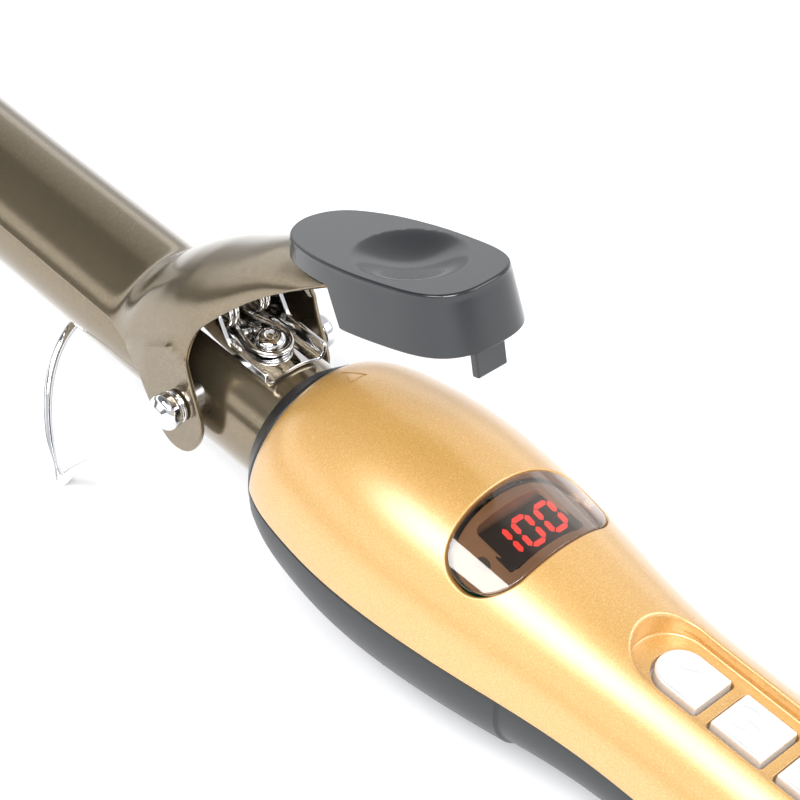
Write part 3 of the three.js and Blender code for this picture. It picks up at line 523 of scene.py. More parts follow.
def moulded(name, colour, roughness, grain=0.1, coat=0.0, variation=0.12):
    """Moulded plastic with a fine skin texture and slightly uneven gloss."""
    look = Look(name)
    skin = look.noise(3000, detail=2.0)
    clouds = look.noise(70, detail=3.0)
    dark, light = shade(colour, 1 - variation), shade(colour, 1 + variation)
    tint = look.ramp(clouds, (0.3, dark), (0.7, light))
    look.set(Base_Color=tint, Roughness=look.range(clouds, roughness * 0.85, roughness * 1.15))
    look.set(Coat_Weight=coat, Coat_Roughness=0.06)
    return look.bump(skin, grain, 0.00004).material


def metal(name, colour, roughness, grain=0.03, scale=900):
    """Plated or drawn metal with faint wear in its gloss."""
    look = Look(name)
    wear = look.noise(scale, detail=3.0)
    tint = look.ramp(wear, (0.3, shade(colour, 0.93)), (0.7, colour))
    gloss = look.range(wear, roughness * 0.7, roughness * 1.4)
    look.set(Base_Color=tint, Metallic=1.0, Roughness=gloss)
    return look.bump(wear, grain, 0.00002).material


def silver_pearl():
    """Bright satin silver."""
    look = Look("silver_pearl")
    grain = look.noise(2500, detail=2.0)
    tint = look.ramp(grain, (0.3, (0.86, 0.87, 0.88)), (0.7, (0.93, 0.93, 0.94)))
    look.set(Base_Color=tint, Metallic=0.45, Roughness=look.range(grain, 0.2, 0.3))
    look.set(Coat_Weight=0.5, Coat_Roughness=0.05)
    return look.bump(grain, 0.03, 0.00002).material


def smoked_lens():
    """Brown-tinted clear plastic that mirrors more the more slanted it is seen."""
    look = Look("smoked_lens")
    tint = look.ramp(look.noise(40), (0.3, (0.72, 0.66, 0.60)), (0.7, (0.76, 0.70, 0.64)))
    clear = look.node("ShaderNodeBsdfTransparent", Color=tint)
    gloss = look.node("ShaderNodeBsdfGlossy", Roughness=0.03)
    gloss.inputs["Color"].default_value = (1, 1, 1, 1)
    slant = look.node("ShaderNodeLayerWeight", Blend=0.5).outputs["Facing"]
    steep = look.node("ShaderNodeMath")
    steep.operation = "POWER"
    look.tree.links.new(slant, steep.inputs[0])
    steep.inputs[1].default_value = 3.0
    sheen = look.range(steep.outputs[0], 0.07, 0.85)
    mix = look.node("ShaderNodeMixShader")
    look.tree.links.new(sheen, mix.inputs[0])
    look.tree.links.new(clear.outputs[0], mix.inputs[1])
    look.tree.links.new(gloss.outputs[0], mix.inputs[2])
    output = look.tree.nodes["Material Output"]
    look.tree.links.new(mix.outputs[0], output.inputs["Surface"])
    look.tree.nodes.remove(look.shader)
    return look.material


def lit_digits():
    """Red light from the display's segments."""
    look = Look("lit_digits")
    glow = look.ramp(look.noise(900), (0.3, (1.0, 0.055, 0.05)), (0.7, (1.0, 0.10, 0.09)))
    look.set(Base_Color=(0.3, 0.02, 0.02, 1), Roughness=0.5)
    look.set(Emission_Color=glow, Emission_Strength=1.9)
    return look.material


PEARL_BRONZE = pearl_bronze()
GOLD = gold_pearl()
CHROME = metal("chrome", (0.86, 0.86, 0.87), 0.05)
SPRING_CHROME = metal("spring_chrome", (0.74, 0.71, 0.67), 0.14)
STEEL = metal("zinc_steel", (0.55, 0.55, 0.54), 0.3)
ALUMINIUM = metal("aluminium", (0.7, 0.71, 0.72), 0.35)
BRASS = metal("brass", (0.78, 0.58, 0.26), 0.25)
GREY_SHELL = moulded("grey_shell", (0.02, 0.022, 0.023), 0.4, 0.2)
BLACK = moulded("black_plastic", (0.018, 0.018, 0.02), 0.35)
LEVER = moulded("lever_plastic", (0.012, 0.0135, 0.0155), 0.22, 0.06, coat=0.4)
SILVER = silver_pearl()
CERAMIC = moulded("ceramic", (0.8, 0.77, 0.68), 0.7)
BOARD = moulded("board_green", (0.02, 0.16, 0.07), 0.4)
FILM = moulded("film_red", (0.4, 0.1, 0.05), 0.35)
SLEEVE = moulded("glass_sleeve", (0.75, 0.74, 0.7), 0.8, 0.4)
BEZEL = moulded("bezel_brown", (0.50, 0.35, 0.24), 0.45)
MODULE_BLACK = moulded("module_black", (0.035, 0.034, 0.036), 0.3, 0.15, variation=0.3)
SPOT_GREY = moulded("spot_grey", (0.12, 0.12, 0.12), 0.5)
LENS = smoked_lens()
DIGITS = lit_digits()

# ------------------------------------------------------------------ heated barrel

tube_low, tube_high = extent("barrel_tube")
tip_low, tip_high = extent("tip_cap")
BARREL_RADIUS = tube_high[0]
BARREL_WALL = 1.2
GAP = 0.3


def barrel():
    inner = BARREL_RADIUS - BARREL_WALL
    rear, front = tube_low[1], tube_high[1]
    corners = [
        (BARREL_RADIUS, rear, 0.2),
        (BARREL_RADIUS, front, 0.4),
        (inner, front, 0.2),
        (inner, rear, 0.2),
    ]
    tube = lathe(corners, closed=True, segments=128)
    piece("barrel", tube, PEARL_BRONZE, "handle", "pearl_bronze", "barrel_tube")


def cool_tip():
    """The plastic end of the barrel, with three grooves round it."""
    start, end = tube_high[1] + GAP, tip_high[1]
    radius = BARREL_RADIUS
    spigot = radius - BARREL_WALL - GAP
    corners = [(0, tip_low[1], 0), (spigot, tip_low[1], 0.3), (spigot, start, 0), (radius, start, 0.4)]
    depth, mouth, floor, edge = 0.45, 0.5, 0.15, 0.15
    for k in range(3):
        groove = start + 3.2 + 2.2 * k
        for offset, sunk in ((-mouth, 0), (-floor, depth), (floor, depth), (mouth, 0)):
            corners.append((radius - sunk, groove + offset, edge))
    corners += [(radius, end, 6.5), (0, end, 0)]
    piece("cool_tip", lathe(corners, segments=96), BLACK, "handle", "black_plastic", "tip_cap")


def collar():
    """The dark cone that fills the step from the barrel to the handle's nose."""
    low, high = extent("collar_ring")
    rear, front = low[1], high[1]
    clear = BARREL_RADIUS + GAP
    foot = NOSE_Y + GAP
    flange, spigot, skirt, lip = 14.6, 13.7, 17.2, 13.6
    step = rear + 1.5
    corners = [
        (clear, front, 0.1),
        (clear, rear, 0.1),
        (flange, rear, 0.2),
        (flange, step, 0.2),
        (spigot, step, 0.1),
        (spigot, foot, 0.1),
        (skirt, foot, 0.2),
        (skirt - 0.2, foot + 0.7, 0.6),
        (lip + 0.4, front - 0.2, 0.5),
        (lip, front, 0.2),
    ]
    made = lathe(corners, closed=True, segments=96)
    piece("collar", made, BLACK, "handle", "black_plastic", "collar_ring")


# ------------------------------------------------------------------ handle shells

# (place along the barrel, radius) of the handle's skin, from the nose's rim to the tail's rim.
HANDLE_OUTLINE = [
    (-22.2, 17.55), (-23.1, 18.45), (-24.6, 19.3), (-28.2, 20.7), (-34.5, 22.1), (-44, 23.3),
    (-54, 23.5), (-66, 22.6), (-78, 20.95), (-90, 18.9), (-102, 17.4), (-120, 16.9), (-145, 17.0),
    (-168, 17.0), (-178, 16.5), (-184, 14.2), (-187, 11.2), (-187.4, 9.0),
]
HANDLE = Spline(HANDLE_OUTLINE)
HANDLE_WALL = 2.2
BULB_RISE = 0.5
TAIL_RISE = 1.1
STRETCH = 20.0  # flat width of one radian round the handle
SHELL_EDGE = 0.35
PARTING_FRONT_Z = 0.4
PARTING_SLOPE = -0.0165
NOSE_Y = -22.2
STEP_Y = -86.0
STEP_DROP = 0.6

HANDLE_RUN = np.linspace(0, HANDLE.length, 3000)
HANDLE_Y = HANDLE(HANDLE_RUN)[:, 0]
FOREMOST = int(np.argmax(HANDLE_Y))


def smooth_step(value, low, high):
    share = np.clip((value - low) / (high - low), 0, 1)
    return share * share * (3 - 2 * share)


def rise(y):
    """How far the handle's centre line is above the barrel's axis."""
    grip = (TAIL_RISE - BULB_RISE) * smooth_step(-y, 85, 120)
    return BULB_RISE * smooth_step(-y, 18, 28) + grip


def along_handle(y):
    """The distance along the handle's skin to a place along the barrel."""
    return np.interp(-np.asarray(y, float), -HANDLE_Y[FOREMOST:], HANDLE_RUN[FOREMOST:])


def handle_radius(y):
    return HANDLE(along_handle(y))[..., 1]


def skin_height(x, y):
    """Height of the handle's upper skin over a plan place."""
    return rise(y) + np.sqrt(np.maximum(handle_radius(y) ** 2 - x**2, 0))


def handle_skin(inset=0.0, step_in=False):
    """The handle's skin as a bent sheet: (distance along it, angle round it x STRETCH)."""

    def place(flat):
        line = HANDLE(flat[:, 0])
        y, radius = line[:, 0], line[:, 1] - inset
        if step_in:
            radius = radius - STEP_DROP * smooth_step(-y, -STEP_Y, -STEP_Y + 0.5)
        angle = flat[:, 1] / STRETCH
        return np.stack([radius * np.sin(angle), y, rise(y) + radius * np.cos(angle)], -1)

    return placed(place)


def on_skin(plan):
    """Plan points (x, y) as flat points of the handle's skin."""
    y = plan[:, 1]
    angle = np.arcsin(np.clip(plan[:, 0] / handle_radius(y), -1, 1))
    return np.stack([along_handle(y), angle * STRETCH], -1)


def parting_angle(distance, shift):
    """The angle from the top of the handle to its parting line, moved up by shift."""
    line = HANDLE(distance)
    height = PARTING_FRONT_Z + PARTING_SLOPE * (line[..., 0] - NOSE_Y) + shift - rise(line[..., 0])
    return np.arccos(np.clip(height / line[..., 1], -1, 1))


def shell_outline(side):
    """The flat outline of the upper (side 1) or lower (side -1) shell."""
    shift = side * (GAP / 2 + SHELL_EDGE)
    run = np.linspace(SHELL_EDGE, HANDLE.length - SHELL_EDGE, 260)
    edge = parting_angle(run, shift)
    if side > 0:
        left, right = -edge, edge
    else:
        left, right = edge, 2 * np.pi - edge
    across = np.linspace(0, 1, 60)[1:-1]
    count = len(across)
    tail_angle = left[-1] + (right[-1] - left[-1]) * across
    nose_angle = right[0] + (left[0] - right[0]) * across
    tail = np.stack([np.full(count, run[-1]), tail_angle * STRETCH], -1)
    nose = np.stack([np.full(count, run[0]), nose_angle * STRETCH], -1)
    near = np.stack([run, left * STRETCH], -1)
    far = np.stack([run, right * STRETCH], -1)[::-1]
    return np.concatenate([near, tail, far, nose])


# The display window's size in plan.
window_low, window_high = extent("window_lens")
WINDOW_FRONT = window_high[1] + GAP
WINDOW_REAR = window_low[1] - GAP
WINDOW_HALF = window_high[0] + GAP


def bezier(a, b, c, d, count):
    t = np.linspace(0, 1, count, endpoint=False)[:, None]
    a, b, c, d = (np.array(p, float) for p in (a, b, c, d))
    return a * (1 - t) ** 3 + 3 * b * t * (1 - t) ** 2 + 3 * c * t**2 * (1 - t) + d * t**3


def window_outline(inset):
    """The window's outline in plan, counter-clockwise, with its outward normals."""
    half = WINDOW_HALF
    front, rear = WINDOW_FRONT, WINDOW_REAR
    side = (front + rear) / 2 + 0.2
    bend = (half * 0.6, rear + 0.35)
    right = np.concatenate(
        [
            bezier((0, rear), (half * 0.2, rear), (half * 0.4, rear + 0.12), bend, 18),
            bezier(bend, (half * 0.84, rear + 1.2), (half, rear + 4.2), (half, side), 30),
            bezier((half, side), (half, side + 5.5), (half * 0.86, front), (0, front), 36),
        ]
    )
    mirrored = right[1:][::-1] * [-1, 1]
    loop = np.concatenate([right, [[0, front]], mirrored])
    around = unit(np.roll(loop, -1, 0) - np.roll(loop, 1, 0))
    outward = np.stack([around[:, 1], -around[:, 0]], -1)
    return loop - outward * inset, outward


# ------------------------------------------------------------------ button recess

RECESS_HALF = 7.3
RECESS_FRONT = -97.9
RECESS_REAR = -146.1
RECESS_FLOOR = 13.3
RECESS_SHEET = 1.6
RECESS_RIM = 0.7
FLOOR_FILLET = 0.5
OPENING_EDGE = 0.25
KEY_ROW_Y = -122.0
KEY_HALF = 5.1
KEY_LENGTH = 11.4
END_KEY_NEAR = 7.8
END_KEY_FAR = 19.9
KEY_CORNER = 0.9
KEY_PLACES = {"plus": 1, "power": 0, "minus": -1}
UP = np.array([0.0, 0.0, 1.0])


def slot_outline():
    """The pocket's outline in plan: a slot with round ends."""
    radius = RECESS_HALF - 0.01
    return rectangle(RECESS_HALF, RECESS_REAR, RECESS_FRONT, radius, radius, 0.7)


def key_outline(place):
    """A key's opening in plan: square in the middle of the row, with one round end at its ends."""
    half = KEY_HALF
    if place == 0:
        near, far = KEY_ROW_Y - KEY_LENGTH / 2, KEY_ROW_Y + KEY_LENGTH / 2
        round_far = KEY_CORNER
    else:
        near, far = KEY_ROW_Y + END_KEY_NEAR * place, KEY_ROW_Y + END_KEY_FAR * place
        round_far = half - 0.01
    right = [(half, near, KEY_CORNER), (half, far, round_far)]
    corners = right + [(-x, y, radius) for x, y, radius in right[::-1]]
    if near > far:
        corners = corners[::-1]
    return loop_of(corners, 0.5)


def flat_ring(loop, outward, offset, z, tilt):
    """One ring of a wall: the loop moved outwards, at a height, with its normal tilted.

    tilt is (share inwards, share upwards).
    """
    plan = loop + outward * offset
    height = np.broadcast_to(z, len(plan))
    points = np.column_stack([plan, height])
    inwards = np.column_stack([-outward, np.zeros(len(plan))])
    return points, unit(inwards * tilt[0] + UP * tilt[1])


def quarter(count=5):
    """Angles of a quarter turn, with their sines and cosines."""
    return [(math.sin(a), math.cos(a)) for a in np.linspace(0, math.pi / 2, count)]


def recess(made, skin):
    """The pocket for the keys: rim, wall, floor with its openings, and their undersides."""
    loop, outward = slot_outline()
    under = RECESS_FLOOR - RECESS_SHEET
    edge_plan = loop + outward * RECESS_RIM
    edge_places, edge_normals = skin(on_skin(edge_plan))
    rows = []
    for sine, cosine in quarter():
        offset = RECESS_RIM * (1 - sine)
        plan = loop + outward * offset
        height = skin_height(plan[:, 0], plan[:, 1]) - RECESS_RIM * (1 - cosine)
        inwards = np.column_stack([-outward, np.zeros(len(plan))])
        rows.append((np.column_stack([plan, height]), unit(edge_normals * cosine + inwards * sine)))
    rows[0] = (edge_places, edge_normals)
    for sine, cosine in quarter():
        offset = -FLOOR_FILLET * (1 - cosine)
        height = RECESS_FLOOR + FLOOR_FILLET * (1 - sine)
        rows.append(flat_ring(loop, outward, offset, height, (cosine, sine)))
    made.grid(*ring_rows(rows))
    keys = [key_outline(place) for place in KEY_PLACES.values()]
    holes = [points + ways * OPENING_EDGE for points, ways in keys]
    floor_edge = loop - outward * FLOOR_FILLET
    flat, faces = triangulated(floor_edge, holes, spacing=1.6)
    for height, way in ((RECESS_FLOOR, UP), (under, -UP)):
        made.add(np.column_stack([flat, np.full(len(flat), height)]), way, faces)
    for points, ways in keys:
        rows = []
        for sine, cosine in quarter():
            height = RECESS_FLOOR - OPENING_EDGE * (1 - cosine)
            rows.append(flat_ring(points, ways, OPENING_EDGE * (1 - sine), height, (sine, cosine)))
        rows.append(flat_ring(points, ways, 0, under, (1, 0)))
        rows.append(flat_ring(points, ways, 0, under, (0, -1)))
        rows.append(flat_ring(points, ways, OPENING_EDGE, under, (0, -1)))
        made.grid(*ring_rows(rows))
    side = RECESS_SHEET
    inner_edge = edge_places - edge_normals * HANDLE_WALL
    outer_way = np.column_stack([outward, np.zeros(len(outward))])
    rows = [
        flat_ring(loop, outward, -FLOOR_FILLET, under, (0, -1)),
        flat_ring(loop, outward, side, under, (0, -1)),
        flat_ring(loop, outward, side, under, (-1, 0)),
        (inner_edge, outer_way),
    ]
    made.grid(*ring_rows(rows))


# ------------------------------------------------------------------ engraved icons

STROKE_SIDE = 0.12  # width of a groove's sloping side


def grooves(strokes):
    """Crease loops for engraved strokes, and a function that says which points lie deep in them.

    A stroke is (outer loop with normals, list of inner loops with normals).
    """
    creases, tests = [], []
    for outer, inner_loops in strokes:
        points, ways = outer
        creases += [points, points - ways * STROKE_SIDE]
        inset = STROKE_SIDE * 0.9
        tests.append((points - ways * inset, [p + w * inset for p, w in inner_loops]))
        for p, w in inner_loops:
            creases += [p, p + w * STROKE_SIDE]

    def deep(flat):
        found = np.zeros(len(flat), bool)
        for outer, inner_loops in tests:
            within = inside(outer, flat)
            for loop in inner_loops:
                within &= ~inside(loop, flat)
            found |= within
        return found

    return creases, deep


def triangle_stroke(centre, half, front, rear, width, step=0.3):
    """A hollow triangle whose point is at front."""
    x, y = centre
    outer = loop_of([(x + half, y + rear, 0.15), (x, y + front, 0.15), (x - half, y + rear, 0.15)], step)
    slope = (front - rear) / half
    inner_rear = rear + width
    inner_front = front - width * math.hypot(1, slope)
    inner_half = (inner_front - inner_rear) / slope
    base, point = y + inner_rear, y + inner_front
    corners = [(x + inner_half, base, 0.1), (x, point, 0.1), (x - inner_half, base, 0.1)]
    return [(outer, [loop_of(corners, step)])]


def power_strokes(centre, radius, width):
    """A ring open at its rear, and a bar that stands in the opening."""
    y = centre[1]
    opening = math.radians(38)
    turn = np.linspace(-math.pi / 2 + opening, 1.5 * math.pi - opening, 40)
    spots = np.stack([np.cos(turn), np.sin(turn)], -1)
    outer_arc = centre + spots * (radius + width / 2)
    inner_arc = centre + spots[::-1] * (radius - width / 2)
    ring_line = np.concatenate([outer_arc, inner_arc])
    ring_ways = np.concatenate([spots, -spots[::-1]])
    bar = rectangle(width / 2, y - radius - 0.7, y - 0.5, 0.12, 0.12, 0.3)
    return [((ring_line, ring_ways), []), (bar, [])]


def upper_shell():
    skin = handle_skin()
    loop, outward = slot_outline()
    recess_hole = on_skin(loop + outward * RECESS_RIM)
    window_hole = on_skin(window_outline(-0.3)[0])
    mark = triangle_stroke((0, -27.2), 2.2, 2.4, -2.4, 0.5)
    creases, deep = grooves(mark)
    mark_depth = 0.22

    def engraved(flat):
        places, normals = skin(flat)
        near = (flat[:, 0] < along_handle(-35)) & (np.abs(flat[:, 1]) < 6)
        sunk = np.zeros(len(flat), bool)
        sunk[near] = deep(places[near][:, :2])
        return places - normals * (mark_depth * sunk)[:, None], normals

    made = sheet(
        engraved,
        shell_outline(1),
        holes=[window_hole],
        bare_holes=[recess_hole],
        thickness=HANDLE_WALL,
        radius=SHELL_EDGE,
        spacing=1.25,
        creases=[on_skin(crease) for crease in creases],
    )
    recess(made, skin)
    piece("upper_shell", made, GOLD, "handle", "gold_paint", "handle_top_shell")


SHELL_INSET = 0.1
SHELL_BORE = 3.3  # radius of the well that each shell screw lies in
SHELL_SCREWS = ("shell_screw_front", "shell_screw_rear")


def screw_well(node):
    """The well of a shell screw, and its mouth as a flat hole in the lower shell."""
    low, high = extent(node)
    y = (low[1] + high[1]) / 2
    turn = np.linspace(0, 2 * np.pi, 28, endpoint=False)
    reach = SHELL_BORE + SHELL_EDGE
    angle = np.pi + reach * np.sin(turn) / float(handle_radius(y))
    seat = low[2] + 2.6
    corners = [(SHELL_BORE, -20, 0), (SHELL_BORE, seat, 0), (1.7, seat, 0)]
    well = lathe(corners, axis="z", centre=(0, y, 0))
    well.normals = [-n for n in well.normals]
    piece(node + "_bore", well, GREY_SHELL, "handle", "grey_plastic")
    return np.stack([along_handle(y + reach * np.cos(turn)), angle * STRETCH], -1)


def lower_shell():
    skin = handle_skin(inset=SHELL_INSET, step_in=True)
    outline = shell_outline(-1)
    creases = []
    for y in (STEP_Y, STEP_Y - 0.12, STEP_Y - 0.25, STEP_Y - 0.38, STEP_Y - 0.5):
        distance = along_handle(y)
        edge = float(parting_angle(np.array(distance), -(GAP / 2 + SHELL_EDGE))) * STRETCH
        across = np.linspace(edge + 0.3, 2 * np.pi * STRETCH - edge - 0.3, 90)
        creases.append(np.stack([np.full(len(across), distance), across], -1))
    wall = HANDLE_WALL - SHELL_INSET
    holes = [screw_well(node) for node in SHELL_SCREWS]
    made = sheet(skin, outline, holes, thickness=wall, radius=SHELL_EDGE, spacing=1.4, creases=creases)
    piece("lower_shell", made, GREY_SHELL, "handle", "grey_plastic", "handle_bottom_shell")


# ------------------------------------------------------------------ display

LENS_INSET = 0.12
LENS_THICKNESS = 1.5
LENS_EDGE = 0.25
module_low, module_high = extent("display_module")
frame_low = extent("display_frame")[0]
BEZEL_INSET = 2.5  # how far the bezel lies below the handle's skin


def window_lens():
    outline = on_skin(window_outline(GAP + LENS_EDGE)[0])
    skin = handle_skin(inset=LENS_INSET)
    made = sheet(skin, outline, thickness=LENS_THICKNESS, radius=LENS_EDGE, spacing=1.2)
    piece("lens", made, LENS, "handle", "smoked_lens", "window_lens")


def display_bezel():
    """The frame under the lens: a curved brown plate with a rounded opening for the module."""
    skin = handle_skin(inset=BEZEL_INSET)
    outline = on_skin(window_outline(0.6)[0])
    half = module_high[0] + 0.6
    front, rear = module_high[1] + 0.6, module_low[1] - 0.5
    opening, ways = rectangle(half, rear, front, 1.2, 1.6, 0.6)
    hole = on_skin(opening)
    made = sheet(skin, outline, holes=[hole], thickness=1.0, radius=0.25, spacing=1.3)
    edge_places, _ = skin(hole)
    top = np.column_stack([opening, edge_places[:, 2] - 0.5])
    bottom = np.column_stack([opening - ways * 0.2, np.full(len(opening), frame_low[2] + 0.2)])
    inwards = np.column_stack([-ways, np.zeros(len(ways))])
    made.grid(np.stack([top, bottom]), np.stack([inwards, inwards]))
    piece("bezel", made, BEZEL, "handle", "frame_brown", "display_frame")
    spot_x, spot_y = -half - 2.6, (front + rear) / 2 - 0.2
    turn = np.linspace(0, 2 * np.pi, 28, endpoint=False)
    spot = np.stack([spot_x + 0.9 * np.cos(turn), spot_y + 1.3 * np.sin(turn)], -1)
    spot_skin = handle_skin(inset=BEZEL_INSET - 0.08)
    lens_spot = sheet(spot_skin, on_skin(spot), thickness=0.3, radius=0.1, spacing=0.5)
    piece("bezel_spot", lens_spot, SPOT_GREY, "handle", "frame_brown")


DIGIT_HEIGHT = 6.1
DIGIT_WIDTH = 3.2
DIGIT_PITCH = 5.35
DIGIT_SLANT = math.tan(math.radians(9))
SEGMENT_WIDTH = 1.05
SEGMENT_GAP = 0.16


def segment_loop(start, end):
    """A seven-segment bar between two places: a long hexagon."""
    start, end = np.array(start, float), np.array(end, float)
    way = unit(end - start)
    side = np.array([-way[1], way[0]]) * SEGMENT_WIDTH / 2
    start, end = start + way * SEGMENT_GAP, end - way * SEGMENT_GAP
    point = way * SEGMENT_WIDTH / 2
    upper = [end - point + side, start + point + side]
    return np.array([start, start + point - side, end - point - side, end, *upper])


def digit_segments(lit):
    half, height = DIGIT_WIDTH / 2, DIGIT_HEIGHT / 2
    bars = {
        "top": ((-half, height), (half, height)),
        "upper_right": ((half, height), (half, 0)),
        "lower_right": ((half, 0), (half, -height)),
        "bottom": ((-half, -height), (half, -height)),
        "lower_left": ((-half, 0), (-half, -height)),
        "upper_left": ((-half, height), (-half, 0)),
        "middle": ((-half, 0), (half, 0)),
    }
    return [segment_loop(*bars[name]) for name in lit]


def display():
    """The LED module and its lit digits, one hundred."""
    zero = ["top", "upper_right", "lower_right", "bottom", "lower_left", "upper_left"]
    one = ["upper_right", "lower_right"]
    loop, ways = rectangle(module_high[0], module_low[1], module_high[1], 0.5, 0.5, 1.0)
    top, edge = module_high[2], 0.3
    body = Surface()
    rows = [flat_ring(loop, ways, 0, module_low[2], (-1, 0))]
    for sine, cosine in quarter():
        height = top - edge * (1 - sine)
        rows.append(flat_ring(loop, ways, -edge * (1 - cosine), height, (-cosine, sine)))
    body.grid(*ring_rows(rows))
    flat, faces = triangulated(loop - ways * edge, spacing=1.5)
    body.add(np.column_stack([flat, np.full(len(flat), top)]), UP, faces)
    flat, faces = triangulated(loop, spacing=3.0)
    body.add(np.column_stack([flat, np.full(len(flat), module_low[2])]), -UP, faces)
    piece("led_module", body, MODULE_BLACK, "handle", "display_black", "display_module")
    middle = np.array([0, (module_low[1] + module_high[1]) / 2])
    lit = Surface()
    thickness = 0.12
    for k, names in enumerate((one, zero, zero)):
        for loop in digit_segments(names):
            leaning = loop + np.stack([loop[:, 1] * DIGIT_SLANT, np.zeros(len(loop))], -1)
            plan = leaning + middle + [(k - 1) * DIGIT_PITCH, 0]
            count = len(plan)
            upper = np.column_stack([plan, np.full(count, top + thickness)])
            lit.add(upper, UP, [np.arange(count)])
            around = unit(np.roll(plan, -1, 0) - plan)
            out = np.column_stack([around[:, 1], -around[:, 0], np.zeros(count)])
            lower = np.column_stack([plan, np.full(count, top)])
            lit.grid(np.stack([upper, lower]), np.stack([out, out]))
    piece("digits", lit, DIGITS, "handle", "display_black")


# ------------------------------------------------------------------ keys

KEY_CLEARANCE = 0.38
KEY_EDGE = 0.45
KEY_PILLOW = 0.12
KEY_FLANGE = 0.8
KEY_LEAN = 0.12
ICON_DEPTH = 0.25


def key_icon(name, y):
    """The strokes engraved on a key whose middle is at y."""
    if name == "power":
        return power_strokes(np.array([0, y + 2.0]), 2.4, 0.55)
    if name == "plus":
        return triangle_stroke((0, y + 0.2), 2.3, 1.9, -1.9, 0.42)
    down = triangle_stroke((0, y - 0.2), 2.3, 1.9, -1.9, 0.42)
    return [mirrored_stroke(stroke, y - 0.2) for stroke in down]


def key(name, place):
    low, high = extent("button_" + name)
    loop, ways = key_outline(place)
    top, flange_top = high[2], low[2] + 0.6
    made = Surface()
    rows = [
        flat_ring(loop, ways, KEY_FLANGE, low[2], (-1, 0)),
        flat_ring(loop, ways, KEY_FLANGE, flange_top, (-1, 0)),
        flat_ring(loop, ways, KEY_FLANGE, flange_top, (0, 1)),
        flat_ring(loop, ways, -KEY_CLEARANCE, flange_top, (0, 1)),
    ]
    made.grid(*ring_rows(rows))
    rows = [flat_ring(loop, ways, -KEY_CLEARANCE, flange_top, (-1, 0.05))]
    for sine, cosine in quarter(6):
        offset = -KEY_CLEARANCE - KEY_LEAN - KEY_EDGE * (1 - cosine)
        height = top - KEY_PILLOW - KEY_EDGE * (1 - sine)
        rows.append(flat_ring(loop, ways, offset, height, (-cosine, sine)))
    made.grid(*ring_rows(rows))
    middle = loop.mean(0)
    spread = np.abs(loop - middle).max(0)
    creases, deep = grooves(key_icon(name, middle[1]))
    rim_loop = loop - ways * (KEY_CLEARANCE + KEY_LEAN + KEY_EDGE)
    flat, faces = triangulated(rim_loop, creases=creases, spacing=0.8)

    def place_top(spots):
        share = np.clip(np.abs(spots - middle) / spread, 0, 1)
        crown = KEY_PILLOW * (1 - share[:, 0] ** 2) * (1 - share[:, 1] ** 2)
        return np.column_stack([spots, top - KEY_PILLOW + crown])

    places, normals = placed(place_top)(flat)
    normals = normals * np.sign(normals[:, 2:])
    places[:, 2] -= ICON_DEPTH * deep(flat)
    made.add(places, normals, faces)
    under, faces = triangulated(loop + ways * KEY_FLANGE, spacing=2.0)
    made.add(np.column_stack([under, np.full(len(under), low[2])]), -UP, faces)
    piece("key_" + name, made, SILVER, name + "_key", "chrome", "button_" + name)


def mirrored_stroke(stroke, about):
    """A stroke turned end for end along the handle."""

    def flipped(loop):
        points, ways = loop
        turned = np.stack([points[:, 0], 2 * about - points[:, 1]], -1)
        return turned[::-1], (ways * [1, -1])[::-1]

    outer, inner_loops = stroke
    return flipped(outer), [flipped(loop) for loop in inner_loops]


# ------------------------------------------------------------------ clamp

SHEET = 1.0
CLAMP_EDGE = 0.32
PIN_RADIUS = 1.5
FOLD = 22.0  # flat width of a quarter of the clamp's arch
spoon_high = extent("clamp_plate")[1]
SPOON_RADIUS = BARREL_RADIUS + GAP + SHEET
SPOON_TIP = spoon_high[1]
EAR_X = spoon_high[0]

# Cross-sections from the tongue's end to the spoon: place, crest height, half width of the arch,
# half width of the ears, and the height of the shoulders from which the walls run down.
CLAMP_SECTIONS = np.array(
    [
        (-30.0, 48.1, 8.7, EAR_X, 43.2),
        (-20.0, 44.3, 9.4, EAR_X, 38.3),
        (-14.0, 41.7, 10.2, EAR_X, 34.5),
        (-9.0, 39.3, 11.6, EAR_X, 29.0),
        (-5.0, 36.9, 13.0, EAR_X, 24.5),
        (0.0, 33.7, 14.4, EAR_X, 19.5),
        (5.4, 30.3, 14.7, EAR_X, 16.0),
        (10.5, 26.6, 14.6, EAR_X, 12.5),
        (16.0, 21.9, 14.4, 15.2, 8.0),
        (20.0, 17.4, 14.2, 14.4, 3.0),
        (22.6, 14.8, 14.1, 14.1, 0.5),
        (24.5, 14.1, 14.1, 14.1, 0.0),
        (70.0, SPOON_RADIUS, SPOON_RADIUS, SPOON_RADIUS, 0.0),
        (SPOON_TIP, SPOON_RADIUS, SPOON_RADIUS, SPOON_RADIUS, 0.0),
    ]
)


def softened_sections(spread=1.1, step=0.2):
    """The sections' sizes at close steps, with their corners softened."""
    places = np.arange(-40, SPOON_TIP + 10, step)
    reach = int(4 * spread / step)
    weights = np.exp(-0.5 * (np.arange(-reach, reach + 1) * step / spread) ** 2)
    weights /= weights.sum()
    columns = []
    for column in range(1, 5):
        values = np.interp(places, CLAMP_SECTIONS[:, 0], CLAMP_SECTIONS[:, column])
        padded = np.pad(values, reach, mode="edge")
        columns.append(np.convolve(padded, weights, mode="valid"))
    return places, np.array(columns)


SECTION_PLACES, SECTION_SIZES = softened_sections()


def section_at(y):
    """Crest, half width, ear half width and shoulder height at a place along the clamp."""
    return [np.interp(y, SECTION_PLACES, sizes) for sizes in SECTION_SIZES]


